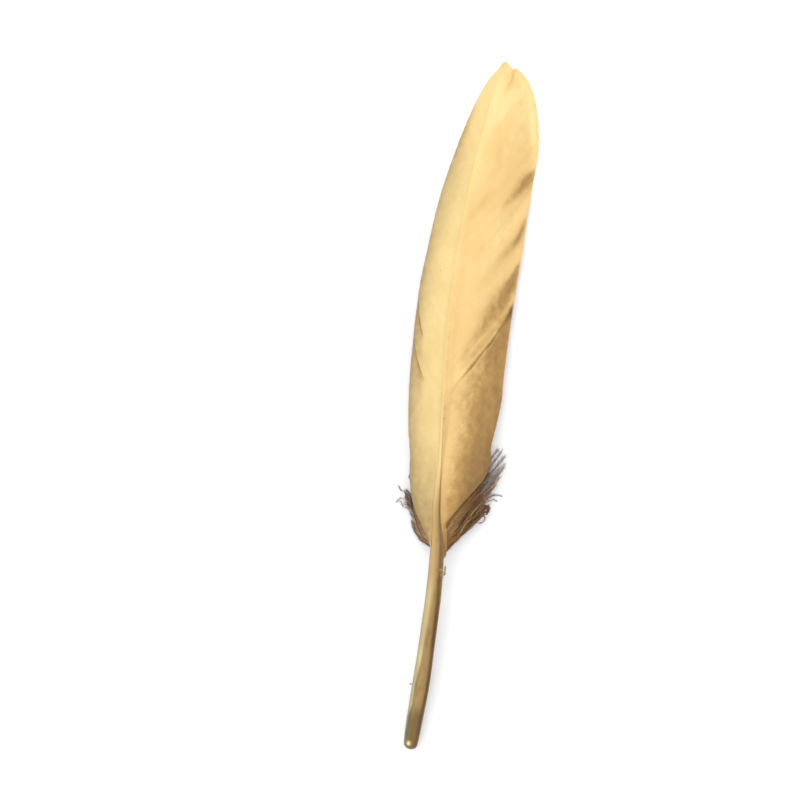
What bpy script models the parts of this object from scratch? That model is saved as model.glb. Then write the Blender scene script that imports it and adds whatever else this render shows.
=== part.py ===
"""A goose quill feather, grown as one piece: quill and rachis, two vanes, and the down at their foot.

It lies as it comes to rest, with its hollow side down. The sizes are measured from the quill's
end: +Y runs along the feather to its tip, +X towards the broad trailing vane, and +Z is up from
the surface that it lies on. The finished object has its origin under the middle of its length.
"""

import math

import bmesh
import bpy
import numpy as np

MM = 0.001
LENGTH = 180.2 * MM

# The shaft's curves: each point is a distance from the quill's end, then the value there
SHAFT_MIDDLE = MM * np.array(
    [(0, -0.35), (14, 0.1), (32, 0.25), (50, -0.3), (70, -2.6), (90, -4.6), (120, -6), (145, -5.2),
     (165, -3.2), (181, -0.4)]
)
SHAFT_HEIGHT = MM * np.array(
    [(0, 1.6), (10, 2.35), (45, 5.6), (90, 7.8), (120, 6.9), (145, 4.3), (160, 2.6), (170, 1.4),
     (181, 0.2)]
)
SHAFT_WIDTH = MM * np.array(
    [(0, 3.4), (5, 4.1), (12, 4.6), (45, 4.25), (60, 3.5), (75, 2.1), (90, 1.4), (120, 1),
     (150, 0.7), (181, 0.3)]
)
SHAFT_DEPTH = MM * np.array(
    [(0, 3.4), (5, 4.1), (12, 4.5), (45, 4), (60, 3.4), (75, 2.5), (90, 1.9), (120, 1.4),
     (150, 0.9), (181, 0.3)]
)
ROUND, SQUARISH = 2.0, 3.0  # a section's exponent in the quill, and past the foot of the vanes
ROUND_UNTIL, SQUARISH_FROM = 30 * MM, 70 * MM
SHAFT_END = 176 * MM
SHAFT_SIDES = 18
DOME = 1.3 * MM  # the quill's rounded end
DOME_FROM = math.radians(32)  # where its outermost ring lies on the round
DOME_RINGS = 4
SHAFT_RINGS = 44
PIT_FLOOR, PIT_MOUTH = 0.45 * MM, 0.9 * MM  # across the small pit in the dome
PIT_DEPTH = 0.9 * MM

# The barbs: each point is a root on the shaft's middle line, and the barb's end across and along
LEADING_BARBS = MM * np.array(
    [(52, -9.9, 69), (60, -10.8, 75.5), (68, -12.3, 83), (78, -13.5, 94), (89, -14.2, 107.5),
     (98, -14.3, 118), (112, -13.5, 130), (127, -12.3, 143), (140, -10.5, 153), (152, -8.4, 162),
     (163, -5.7, 170.4), (171, -3.4, 175.5), (176, -2, 178), (180.2, -1.2, 179.3)]
)
TRAILING_BARBS = MM * np.array(
    [(56, 10, 74.5), (61, 9.8, 81), (67.5, 10.8, 89), (76, 10.5, 99), (91, 10.3, 116.5), (105, 10.5, 131),
     (120, 11.2, 147), (130, 11.4, 156.5), (140, 10.8, 163.5), (148, 9.2, 170), (158, 5.7, 176.2),
     (167, 2.6, 178.3), (173, 1.3, 178.9), (180.2, 0.3, 179.6)]
)
LEADING_BOW = np.array([(0.052, 0.1), (0.07, 0.16), (0.1, 0.2), (0.1802, 0.2)])
TRAILING_BOW = np.array([(0.056, 0.07), (0.1802, 0.07)])
BARB_ROWS = 58
LEADING_STEPS, TRAILING_STEPS = 7, 10
VANE_THICKNESS = 0.55 * MM
EDGE_THICKNESS = 0.5  # as a share of the thickness at the shaft
LOCK_STEP = 0.16 * MM  # how far each lock of barbs stands over its neighbour
LOCK_RAG = 0.25 * MM  # how far it reaches past it at the edge
EVEN_FROM = 0.85  # from this share of the way up, the locks grow even towards the tip

# How far a vane falls below the shaft: this times the square of the distance out, per metre
LEADING_DROOP = np.array(
    [(0.05, 34), (0.11, 52), (0.14, 74), (0.15, 88), (0.16, 98), (0.172, 62), (0.181, 40)]
)
TRAILING_DROOP = np.array(
    [(0.05, 18), (0.105, 21.5), (0.125, 17.2), (0.145, 14), (0.152, 14), (0.158, 15), (0.167, 15),
     (0.181, 16)]
)
RIPPLE_HEIGHT = 0.45 * MM
RIPPLE_LENGTH = 13 * MM
RIPPLE_AT = 152 * MM  # where along the trailing edge one of the ripples rises
RIPPLES_FROM, RIPPLES_TO = 96 * MM, 160 * MM

# The down: each point is a share of the way through a tuft, then where the lock there ends and its bow
LEFT_DOWN = np.array(
    [(0, -5, 54.9, 0.16), (0.25, -7.9, 58.2, 0.16), (0.45, -9.4, 61.8, 0.14), (0.6, -12.3, 63.3, -0.02),
     (0.74, -12.6, 66.3, -0.06), (0.84, -10.7, 65.8, 0.04), (1, -9.6, 65.2, 0.1)]
)
RIGHT_DOWN = np.array(
    [(0, 4.4, 55, 0.04), (0.12, 7.4, 58.4, 0.06), (0.25, 10.4, 61.4, 0.06), (0.33, 11.5, 63.2, 0.05),
     (0.42, 11.3, 65.6, 0.05), (0.5, 14.3, 68.1, 0.03), (0.58, 12.5, 69.8, 0.06), (0.7, 13.1, 73.2, 0.08),
     (0.84, 13.8, 77.3, 0.08), (0.93, 12.6, 79.4, 0.06), (1, 10.6, 80.2, 0.05)]
)
LEFT_ROOTS, RIGHT_ROOTS = (51.5 * MM, 57 * MM), (49.5 * MM, 60 * MM)
LEFT_LOCKS, RIGHT_LOCKS = 14, 30
BOW_SPREAD = (0.7, 1.3)
LOCK_WIDTH, LOCK_DEPTH = 1.3 * MM, 0.8 * MM
LOCK_TAPER, TAPER_SHARPNESS = 0.75, 1.5  # the share of its width that a lock loses, late on its way
LOCK_RINGS, LOCK_SIDES = 6, 4
DOWN_DROP = 0.9 * MM  # how far under the shaft's middle the down grows
DOWN_REST = (1 * MM, 2.4 * MM)  # how high its ends lie
DOWN_HUMP = 0.2  # how much of its fall is in a lock's outer half

# Splits between barbs: the opening at the vane's edge, then points from the edge inwards
SPLITS = {
    "trailing split": (0.6, (11.5, 119), (9.9, 114.5), (7.6, 109.5), (5, 105.4), (0.5, 98.6), (-2.4, 93.4)),
    "upper leading split": (0.4, (-15.3, 118.5), (-14.4, 113), (-13.2, 109), (-11.6, 106)),
    "lower leading split": (0.4, (-15.2, 109), (-14, 104), (-12.6, 100.2), (-10.4, 96.5)),
    "tip notch": (0.9, (2.1, 180.5), (2.2, 178), (2.25, 175.8)),
}
SPLIT_NARROWING = 1.5  # the exponent with which a split closes inwards
INNER_OPENING = 0.12 * MM
CUT_BELOW, CUT_ABOVE = -2 * MM, 12 * MM

GOLD_ON_VANE = ("gold on the vane", (0.87, 0.63, 0.3), 0.42, 0.55)
GOLD_ON_SHAFT = ("gold on the shaft", (0.62, 0.42, 0.17), 0.34, 0.6)
DOWN = ("down", (0.12, 0.085, 0.06), 0.9, 0)


def clear_scene():
    """Remove whatever the scene holds."""
    for old in list(bpy.data.objects):
        bpy.data.objects.remove(old)


def material(name, colour, roughness, metallic):
    """A plain surface of one colour."""
    made = bpy.data.materials.new(name)
    made.use_nodes = True
    shader = made.node_tree.nodes["Principled BSDF"]
    shader.inputs["Base Color"].default_value = (*colour, 1)
    shader.inputs["Roughness"].default_value = roughness
    shader.inputs["Metallic"].default_value = metallic
    return made


def add_object(name, vertices, faces, finish, collection):
    """An object of these faces, shaded smooth."""
    mesh = bpy.data.meshes.new(name)
    mesh.from_pydata(np.reshape(vertices, (-1, 3)).tolist(), [], faces)
    mesh.materials.append(finish)
    mesh.shade_smooth()
    made = bpy.data.objects.new(name, mesh)
    collection.objects.link(made)
    return made


def collection_of_helpers(name):
    """A collection in the scene for shapes that only join or cut the feather."""
    made = bpy.data.collections.new(name)
    bpy.context.scene.collection.children.link(made)
    return made


def smooth(curve, places):
    """Values along a smooth curve through a few points, as cubic arcs that meet with equal slopes."""
    known, values = curve[:, 0], curve[:, 1:]
    slopes = np.gradient(values, known, axis=0)
    arc = np.clip(np.searchsorted(known, places, side="right") - 1, 0, len(known) - 2)
    span = (known[arc + 1] - known[arc])[..., None]
    part = np.clip((places - known[arc])[..., None] / span, 0, 1)
    rise = part * part * (3 - 2 * part)
    leaving = slopes[arc] * span * part * (1 - part) ** 2
    arriving = slopes[arc + 1] * span * part * part * (1 - part)
    found = values[arc] * (1 - rise) + values[arc + 1] * rise + leaving - arriving
    return found[..., 0] if found.shape[-1] == 1 else found


def shaft_at(along):
    """Points on the shaft's middle line."""
    return np.stack([smooth(SHAFT_MIDDLE, along), along, smooth(SHAFT_HEIGHT, along)], axis=-1)


def laid(points):
    """The same points, with what would reach below the surface lying on it."""
    return np.concatenate([points[..., :2], np.maximum(points[..., 2:], 0)], axis=-1)


def loft(middle, ahead, widths, depths, exponents, sides):
    """Rings about a path: |x|^n + |z|^n = 1 across it, stretched to each width and depth."""
    ahead = ahead / np.linalg.norm(ahead, axis=-1, keepdims=True)
    across = np.cross(ahead, (0, 0, 1))
    across /= np.linalg.norm(across, axis=-1, keepdims=True)
    above = np.cross(across, ahead)
    turn = np.arange(sides) * 2 * math.pi / sides
    power = 2 / np.asarray(exponents)[:, None]
    x = np.sign(np.cos(turn)) * np.abs(np.cos(turn)) ** power * widths[:, None] / 2
    z = np.sign(np.sin(turn)) * np.abs(np.sin(turn)) ** power * depths[:, None] / 2
    rings = middle[:, None] + across[:, None] * x[..., None] + above[:, None] * z[..., None]
    count = len(middle)
    faces = [
        (ring * sides + side, (ring + 1) * sides + side, (ring + 1) * sides + after, ring * sides + after)
        for ring in range(count - 1)
        for side, after in zip(range(sides), [*range(1, sides), 0])
    ]
    faces.append(tuple(range(sides)))
    faces.append(tuple(reversed(range((count - 1) * sides, count * sides))))
    return rings, faces


def add_shaft(finish, collection):
    """Quill and rachis: a tapering tube from a domed end with a small pit to a fine point."""
    dome = DOME * (1 - np.cos(np.linspace(DOME_FROM, math.pi / 2, DOME_RINGS)))
    run = np.linspace(DOME, SHAFT_END, SHAFT_RINGS + 1)[1:]
    outer = np.concatenate([dome, run])
    fullness = np.sqrt(1 - (1 - np.clip(outer / DOME, 0, 1)) ** 2)
    along = np.concatenate([[PIT_DEPTH, dome[0] / 2], outer])
    widths = np.concatenate([[PIT_FLOOR, PIT_MOUTH], smooth(SHAFT_WIDTH, outer) * fullness])
    depths = np.concatenate([[PIT_FLOOR, PIT_MOUTH], smooth(SHAFT_DEPTH, outer) * fullness])
    share = np.clip((along - ROUND_UNTIL) / (SQUARISH_FROM - ROUND_UNTIL), 0, 1)
    exponents = ROUND + (SQUARISH - ROUND) * share
    ahead = shaft_at(along + MM) - shaft_at(along - MM)
    rings, faces = loft(shaft_at(along), ahead, widths, depths, exponents, SHAFT_SIDES)
    return add_object("feather", laid(rings), faces, finish, collection)


def rag(share):
    """Every second row stands out from its neighbours, less and less towards the feather's tip."""
    fading = np.clip((1 - share) / (1 - EVEN_FROM), 0, 1)
    return (np.arange(len(share)) % 2 * fading)[:, None]


def arc(start, bend, end, out):
    """Points at shares of the way along a quadratic arc that leaves its start towards the bend."""
    return start * (1 - out) ** 2 + bend * 2 * out * (1 - out) + end * out**2


def barbs(table, bow, steps, side, share):
    """A row of points for each barb, bowed away from the feather's tip, from shaft to vane's edge."""
    roots = table[0, 0] + (table[-1, 0] - table[0, 0]) * share
    start = shaft_at(roots)[:, :2]
    end = smooth(table, roots)
    reach = end - start
    outwards = np.stack([reach[:, 1], -reach[:, 0]], axis=-1) * side
    bend = (start + end) / 2 + outwards * smooth(bow, roots)[:, None]
    end = end + reach / np.linalg.norm(reach, axis=-1, keepdims=True) * LOCK_RAG * rag(share)
    out = np.linspace(0, 1, steps + 1)[None, :, None]
    return arc(start[:, None], bend[:, None], end[:, None], out)


def underside(flat):
    """The underside's height: from the shaft it falls with the square of the distance out."""
    along = flat[..., 1]
    away = flat[..., 0] - smooth(SHAFT_MIDDLE, along)
    droop = np.where(away < 0, smooth(LEADING_DROOP, along), smooth(TRAILING_DROOP, along))
    return smooth(SHAFT_HEIGHT, along) - droop * away**2


def ripples(edge):
    """Waves that follow the barbs, by how far along the feather each barb ends."""
    rising = np.clip((edge - RIPPLES_FROM) / RIPPLE_LENGTH, 0, 1)
    fading = np.clip((RIPPLES_TO - edge) / RIPPLE_LENGTH, 0, 1)
    return RIPPLE_HEIGHT * rising * fading * np.sin((edge - RIPPLE_AT) / RIPPLE_LENGTH * 2 * math.pi)


def add_vanes(finish, collection):
    """Both vanes as one sheet of locks: a row is a leading barb and a trailing barb from one place."""
    share = np.linspace(0, 1, BARB_ROWS)
    leading = barbs(LEADING_BARBS, LEADING_BOW, LEADING_STEPS, -1, share)
    trailing = barbs(TRAILING_BARBS, TRAILING_BOW, TRAILING_STEPS, 1, share)
    root = (leading[:, :1] + trailing[:, :1]) / 2
    flat = np.concatenate([leading[:, :0:-1], root, trailing[:, 1:]], axis=1)
    step = np.arange(-LEADING_STEPS, TRAILING_STEPS + 1)
    out = np.abs(step) / np.where(step < 0, LEADING_STEPS, TRAILING_STEPS)
    waves = ripples(trailing[:, -1:, 1]) * out**2 * (step > 0)
    height = underside(flat) + waves + LOCK_STEP * rag(share) * out
    sheet = laid(np.concatenate([flat, height[..., None]], axis=-1))
    columns = len(step)
    faces = [
        (first, first + 1, first + columns + 1, first + columns)
        for row in range(BARB_ROWS - 1)
        for first in range(row * columns, (row + 1) * columns - 1)
    ]
    vanes = add_object("vanes", sheet, faces, finish, collection)
    thin = vanes.vertex_groups.new(name="thickness")
    for column, share_out in enumerate(out):
        rows = range(column, BARB_ROWS * columns, columns)
        thin.add(list(rows), 1 - (1 - EDGE_THICKNESS) * float(share_out), "REPLACE")
    solid = vanes.modifiers.new("Thickness of the barbs", "SOLIDIFY")
    solid.thickness = VANE_THICKNESS
    solid.offset = 1
    solid.vertex_group = thin.name


def add_tuft(name, ends, roots, count, side, finish, collection):
    """Down on one side: tapering locks that leave the shaft one above another and curve to their ends."""
    chance = np.random.default_rng(count)
    for index in range(count):
        share = (index + 0.5) / count
        start = shaft_at(np.array(roots[0] + (roots[1] - roots[0]) * share)) - (0, 0, DOWN_DROP)
        end_across, end_along, bow = smooth(ends, np.array(share))
        end = np.array([end_across * MM, end_along * MM, chance.uniform(*DOWN_REST)])
        reach = end - start
        bow *= side * chance.uniform(*BOW_SPREAD)
        bend = (start + end) / 2 + np.array([reach[1] * bow, -reach[0] * bow, -reach[2] * DOWN_HUMP])
        out = np.linspace(0, 1, LOCK_RINGS)[:, None]
        path = arc(start, bend, end, out)
        taper = 1 - LOCK_TAPER * out[:, 0] ** TAPER_SHARPNESS
        rings, faces = loft(
            path, np.gradient(path, axis=0), LOCK_WIDTH * taper, LOCK_DEPTH * taper,
            np.full(LOCK_RINGS, ROUND), LOCK_SIDES,
        )
        add_object(f"{name} {index + 1}", laid(rings), faces, finish, collection)


def add_split(name, opening, points, collection):
    """A cutter for a gap between two barbs: a wedge that narrows from the vane's edge inwards."""
    line = np.array(points) * MM
    ahead = np.gradient(line, axis=0)
    ahead /= np.linalg.norm(ahead, axis=-1, keepdims=True)
    aside = np.stack([ahead[:, 1], -ahead[:, 0]], axis=-1)
    inwards = np.linspace(0, 1, len(line))[:, None]
    narrowing = opening * MM * (1 - inwards) ** SPLIT_NARROWING
    half = (narrowing + INNER_OPENING * inwards * (inwards < 1)) / 2
    outline = np.concatenate([line + aside * half, (line - aside * half)[-2::-1]])
    shape = bmesh.new()
    corners = [shape.verts.new((x, y, CUT_BELOW)) for x, y in outline]
    foot = shape.faces.new(corners)
    raised = bmesh.ops.extrude_face_region(shape, geom=[foot])["geom"]
    tops = [part for part in raised if isinstance(part, bmesh.types.BMVert)]
    bmesh.ops.translate(shape, verts=tops, vec=(0, 0, CUT_ABOVE - CUT_BELOW))
    bmesh.ops.recalc_face_normals(shape, faces=shape.faces)
    mesh = bpy.data.meshes.new(name)
    shape.to_mesh(mesh)
    shape.free()
    collection.objects.link(bpy.data.objects.new(name, mesh))


def join(feather, name, operation, helpers):
    """Add or cut away every shape of a collection."""
    step = feather.modifiers.new(name, "BOOLEAN")
    step.operation = operation
    step.operand_type = "COLLECTION"
    step.collection = helpers
    step.material_mode = "TRANSFER"
    for helper in helpers.objects:
        helper.hide_render = True
        helper.display_type = "WIRE"
        helper.parent = feather


def build():
    """Shaft, vanes and down grown into one, then split where barbs have parted."""
    clear_scene()
    grown = collection_of_helpers("grown together")
    parted = collection_of_helpers("parted barbs")
    shaft_gold, vane_gold, brown = material(*GOLD_ON_SHAFT), material(*GOLD_ON_VANE), material(*DOWN)
    feather = add_shaft(shaft_gold, bpy.context.scene.collection)
    add_vanes(vane_gold, grown)
    add_tuft("left down", LEFT_DOWN, LEFT_ROOTS, LEFT_LOCKS, -1, brown, grown)
    add_tuft("right down", RIGHT_DOWN, RIGHT_ROOTS, RIGHT_LOCKS, 1, brown, grown)
    for name, (opening, *points) in SPLITS.items():
        add_split(name, opening, points, parted)
    join(feather, "Grown together", "UNION", grown)
    join(feather, "Parted barbs", "DIFFERENCE", parted)
    feather.location = (0, -LENGTH / 2, 0)


build()
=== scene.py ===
"""A gold-painted goose quill feather, lying hollow side down on a pale floor in soft light.

Places are measured from the quill's end, as on a bench: +Y runs along the feather to its tip, +X
towards the broad trailing vane, and +Z is up. The last step of each piece shifts it into the frame.
"""

import math

import bpy
import numpy as np
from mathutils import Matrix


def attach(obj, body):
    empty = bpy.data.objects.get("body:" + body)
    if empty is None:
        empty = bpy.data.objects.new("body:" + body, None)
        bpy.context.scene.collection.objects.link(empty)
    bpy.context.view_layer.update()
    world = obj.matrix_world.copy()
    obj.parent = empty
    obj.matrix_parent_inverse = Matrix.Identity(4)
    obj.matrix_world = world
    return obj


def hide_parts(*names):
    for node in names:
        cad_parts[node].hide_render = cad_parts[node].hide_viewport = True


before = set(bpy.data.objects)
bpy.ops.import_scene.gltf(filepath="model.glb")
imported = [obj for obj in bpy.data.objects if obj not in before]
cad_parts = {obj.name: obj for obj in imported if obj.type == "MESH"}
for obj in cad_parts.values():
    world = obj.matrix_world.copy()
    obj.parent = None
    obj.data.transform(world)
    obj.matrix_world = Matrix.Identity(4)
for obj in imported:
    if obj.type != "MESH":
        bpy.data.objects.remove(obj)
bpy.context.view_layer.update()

# Camera, floor and light: the feather lies on a white table lit softly through, in a light tent that
# is brighter on the left. The camera looks straight down from half a metre with a long lens.
MM = 0.001
LENGTH = 180.2 * MM  # from the quill's end to the tip. The frame's origin lies under its middle
INTO_FRAME = np.array((0, -LENGTH / 2, 0))
LENS, FILM = 85, 36  # millimetres
VIEW_WIDTH = 207.9 * MM  # what the picture is wide at the feather
VIEW_MIDDLE = (-15.3 * MM, 89.18 * MM)
VIEW_TURN = math.radians(7.925)
TABLE_SIZE, TABLE_DEPTH = 3.0, 0.05 * MM
TABLE, TABLE_GLOW, TABLE_ROUGHNESS = (0.7, 0.7, 0.71), 0.22, 0.9
TENT_LEFT, TENT_RIGHT = 1.85, 0.75  # its brightness at either side
TENT_COLOUR = (0.98, 0.99, 1)
LAMP_PLACE, LAMP_SIZE, LAMP_POWER, LAMP_COLOUR = (-0.25, 0.4, 0.8), 0.6, 1.6, (1, 0.99, 0.97)
NEAREST_SEEN = 10 * MM  # to the camera


def add_object(name, data):
    """A new object, linked into the scene."""
    made = bpy.data.objects.new(name, data)
    bpy.context.scene.collection.objects.link(made)
    return made


camera = add_object("camera", bpy.data.cameras.new("camera"))
bpy.context.scene.camera = camera
camera.data.lens = LENS
camera.data.sensor_width = FILM
camera.data.clip_start = NEAREST_SEEN
camera.location = (VIEW_MIDDLE[0], VIEW_MIDDLE[1] - LENGTH / 2, VIEW_WIDTH * LENS / FILM)
camera.rotation_euler = (0, 0, VIEW_TURN)

bpy.context.scene.view_settings.view_transform = "Standard"
tent = bpy.data.worlds.new("light tent")
bpy.context.scene.world = tent
tent.use_nodes = True
sky = tent.node_tree.nodes
aside = sky.new("ShaderNodeSeparateXYZ")
level = sky.new("ShaderNodeMapRange")
level.inputs["From Min"].default_value = -1
level.inputs["To Min"].default_value = TENT_LEFT
level.inputs["To Max"].default_value = TENT_RIGHT
tent.node_tree.links.new(sky.new("ShaderNodeTexCoord").outputs["Generated"], aside.inputs[0])
tent.node_tree.links.new(aside.outputs["X"], level.inputs["Value"])
tent.node_tree.links.new(level.outputs[0], sky["Background"].inputs["Strength"])
sky["Background"].inputs["Color"].default_value = (*TENT_COLOUR, 1)

lamp = add_object("broad lamp", bpy.data.lights.new("broad lamp", "AREA"))
lamp.data.size, lamp.data.energy, lamp.data.color = LAMP_SIZE, LAMP_POWER, LAMP_COLOUR
lamp.location = LAMP_PLACE
x, y, z = LAMP_PLACE  # it shines towards the middle of the frame
lamp.rotation_euler = (math.acos(z / math.hypot(x, y, z)), 0, math.atan2(-y, -x) - math.pi / 2)

board = bpy.data.meshes.new("table")
corners = np.array([(-1, -1), (1, -1), (1, 1), (-1, 1)]) * TABLE_SIZE / 2
board.from_pydata([(x, y, -TABLE_DEPTH) for x, y in corners], [], [(0, 1, 2, 3)])
table = add_object("table", board)
white = bpy.data.materials.new("white table")
white.use_nodes = True
surface = white.node_tree.nodes["Principled BSDF"].inputs
surface["Base Color"].default_value = (*TABLE, 1)
surface["Roughness"].default_value = TABLE_ROUGHNESS
surface["Emission Color"].default_value = (1, 1, 1, 1)
surface["Emission Strength"].default_value = TABLE_GLOW
board.materials.append(white)

# Shaft: the bare quill, a smooth horny tube, runs on into the rachis, which is squarer, solid with pith
# and grooved beneath. It was dipped and sprayed with gold, so it is satin, with flats along it.
SHAFT_MIDDLE = MM * np.array(
    [(0, -0.3), (8, -0.07), (18, 0.25), (32, 0.24), (42, 0.1), (50, -0.4), (54, -0.85), (59, -1.75),
     (66, -2.5), (74, -3.1), (90, -4.6), (120, -6), (145, -5.2), (165, -3.2), (181, -0.4)]
)
SHAFT_HEIGHT = MM * np.array(
    [(0, 1.6), (10, 2.35), (45, 5.6), (90, 7.8), (120, 6.9), (145, 4.3), (160, 2.6), (170, 1.4),
     (181, 0.2)]
)
SHAFT_WIDTH = MM * np.array(
    [(0, 3.4), (4, 3.95), (9, 4.25), (16, 4.5), (26, 4.25), (36, 4.1), (46, 3.85), (51, 3.6), (55, 3.1),
     (59, 2.35), (66, 1.85), (75, 1.5), (90, 1.4), (120, 1), (150, 0.7), (181, 0.25)]
)
SHAFT_DEPTH = MM * np.array(
    [(0, 3.4), (5, 4.1), (12, 4.5), (45, 4), (60, 3), (75, 2.3), (90, 1.9), (120, 1.4), (150, 0.9),
     (181, 0.25)]
)
SQUARENESS = np.array([(0.0, 2.0), (0.03, 2.0), (0.07, 3.0), (0.181, 3.0)])  # a section's exponent
SHAFT_END = 178.8 * MM
DOME, DOME_FROM = 1.3 * MM, 0.12  # the near end's quarter round, and its first ring's angle in radians
DOME_RINGS, SHAFT_RINGS, SHAFT_SIDES = 14, 340, 64
CROWDING = 0.25  # how much closer the rings lie towards the near end
PIT_WIDTH, PIT_DEPTH = 0.85 * MM, 1.1 * MM
PIT_RINGS = ((1, 0.3), (0.75, 0.8), (0.25, 1))  # as shares of its depth and width
GROOVE_FROM, GROOVE_TO = 51 * MM, 60 * MM
GROOVE_DEPTH, GROOVE_WIDTH = 0.3, 0.3  # as shares of the shaft's depth and half width
FLATS = 5
FLAT_DEPTH = 0.035  # as a share of the radius
FLAT_TURNS = np.array([(0.0, 1.98), (0.02, 1.9), (0.05, 1.55), (0.07, 1.1), (0.181, 1.0)])
# By millimetres along, as shares of the half width: where the leading flat, painted lighter as if lit from
# the left, ends and how softly, how deep the painted shade in the crease beside it is, and where the
# painted shade of the dark line on the trailing side runs and how dark it is
RIDGE = (
    (0, -1.2), (8, -1.1), (10, -0.85), (12, -0.68), (17, -0.74), (20, -0.66), (25, -0.46), (30, -0.46),
    (35, -0.36), (40, -0.26), (45, -0.1), (50, -0.1), (56, 0), (62, 0.5), (70, 1.2),
)
RIDGE_SOFTNESS = ((24, 0.18), (36, 0.6), (48, 0.7))
CREASE = ((6, 0.2), (10, 0.6), (14, 0.6), (17, 0.8), (21, 0.7), (25, 0.4), (32, 0.4), (38, 0.15), (46, 0))
DARK_LINE = (
    (0, 0.72), (9, 0.65), (12, 0.74), (16, 0.8), (20, 0.76), (25, 0.76), (30, 0.66), (35, 0.64),
    (40, 0.58), (45, 0.48), (50, 0.46), (56, 0.6), (60, 0.85), (70, 1),
)
DARKNESS = (
    (0, 0.5), (8, 0.75), (12, 1), (36, 1), (41, 0.85), (46, 0.7), (52, 0.62), (58, 0.5), (64, 0.15), (74, 0),
)
DULL = ((41, 0), (47, 1))
# How far past that flat's edge the crease lies, its width, and the dark line's on its two sides
CREASE_BEYOND, CREASE_WIDTH, DARK_WIDTHS = 0.14, 0.32, (0.28, 0.45)
SHAFT_EDGE = math.radians(50)  # steeper edges stay sharp
# The drop of paint at the quill's end is coloured with a painted highlight
BEAD = (-0.85 * MM, 1.75 * MM, 0.5 * MM, 0.28 * MM)  # a drop of paint: across, along, radius, height
# Bright flecks of paint and, by the ridge, a painted highlight:
# across, along, half width, half length, strength
FLECKS = [(1.15, 47.4, 0.45, 0.2, 0.6), (-1.1, 24.6, 0.3, 2.6, 0.3), (1.3, 46.2, 0.25, 0.15, 0.3)]
# Darker patches, in the same way
DARK_PATCHES = [
    (-0.95, 8.2, 0.8, 1.8, 0.5), (-0.6, 15.6, 0.6, 2.4, 0.2), (-0.5, 20.4, 0.5, 2, 0.14),
    (-0.45, 25, 0.4, 3, 0.2), (-1, 12.4, 0.4, 1.6, 0.12), (1.95, 15.5, 0.45, 3, 0.4),
]


def smooth(curve, places):
    """Values along a smooth curve through a few points, as cubic arcs that meet with equal slopes."""
    known, values = curve[:, 0], curve[:, 1:]
    slopes = np.gradient(values, known, axis=0)
    arc = np.clip(np.searchsorted(known, places, side="right") - 1, 0, len(known) - 2)
    span = (known[arc + 1] - known[arc])[..., None]
    part = np.clip((places - known[arc])[..., None] / span, 0, 1)
    rise = part * part * (3 - 2 * part)
    leaving = slopes[arc] * span * part * (1 - part) ** 2
    arriving = slopes[arc + 1] * span * part * part * (1 - part)
    found = values[arc] * (1 - rise) + values[arc + 1] * rise + leaving - arriving
    return found[..., 0] if found.shape[-1] == 1 else found


def line(points, along):
    """Values along straight lines between points given in millimetres along the feather."""
    known, values = zip(*points)
    return np.interp(along / MM, known, values)


def shaft_at(along):
    """Points on the shaft's middle line."""
    return np.stack([smooth(SHAFT_MIDDLE, along), along, smooth(SHAFT_HEIGHT, along)], axis=-1)


def step_up(value, low, high):
    """0 below low, 1 above high, and a smooth rise between them: 3 t^2 - 2 t^3."""
    part = np.clip((value - low) / (high - low), 0, 1)
    return part * part * (3 - 2 * part)


def bell(value, middle, width):
    """A bump of height 1 about the middle: exp(-(distance / width)^2)."""
    return np.exp(-(((value - middle) / width) ** 2))


def unit(vectors):
    """The same directions with length 1."""
    return vectors / np.linalg.norm(vectors, axis=-1, keepdims=True)


def add_tubes(name, rings, values, columns, crease=None):
    """Closed tubes from rings[tube, station, side], each side a quad and each end one face.

    values are numbers for each ring point, kept as attributes. Each tube is laid out flat in a cell
    of its own on the map that the finish is kept on, its stations across and its sides up.
    """
    tubes, stations, sides = rings.shape[:3]
    first = (np.arange(tubes)[:, None, None] * stations + np.arange(stations - 1)[:, None]) * sides
    side = np.arange(sides)
    after = (side + 1) % sides
    quads = np.stack([first + side, first + after, first + sides + after, first + sides + side], axis=-1)
    ends = np.arange(tubes)[:, None] * stations * sides
    near = ends + side[::-1]
    far = ends + (stations - 1) * sides + side
    mesh = bpy.data.meshes.new(name)
    points = rings.reshape(-1, 3) + INTO_FRAME
    faces = quads.reshape(-1, 4).tolist() + near.tolist() + far.tolist()
    mesh.from_pydata(points.tolist(), [], faces)
    for label, numbers in values.items():
        kept = mesh.attributes.new(label, "FLOAT", "POINT")
        spread = np.broadcast_to(numbers, rings.shape[:3]).astype(np.float32)
        kept.data.foreach_set("value", spread.ravel())
    rows = -(-tubes // columns)
    margin = 0.06
    station = np.arange(stations - 1)[:, None, None] + np.array((0, 0, 1, 1))
    round_it = side[:, None] + np.array((0, 1, 1, 0))
    cell = np.stack(np.broadcast_arrays(station / (stations - 1), round_it / sides), axis=-1)
    lid = np.sin(np.pi * side / sides) * margin
    lids = [
        np.stack([-lid[::-1], side[::-1] / sides], axis=-1),
        np.stack([1 + lid, side / sides], axis=-1),
    ]
    corner = np.stack([np.arange(tubes) % columns, np.arange(tubes) // columns], axis=-1)
    corner = corner.reshape(tubes, 1, 2)
    parts = [cell.reshape(1, -1, 2), *[part.reshape(1, -1, 2) for part in lids]]
    laid_out = [
        (corner + margin + part * (1 - 2 * margin)).reshape(-1, 2) / (columns, rows) for part in parts
    ]
    flat = mesh.uv_layers.new(name="OFBake")
    flat.uv.foreach_set("vector", np.concatenate(laid_out).astype(np.float32).ravel())
    mesh.shade_smooth()
    if crease is not None:
        mesh.set_sharp_from_angle(angle=crease)
    made = add_object(name, mesh)
    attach(made, "root")
    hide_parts("feather")
    return made


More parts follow.
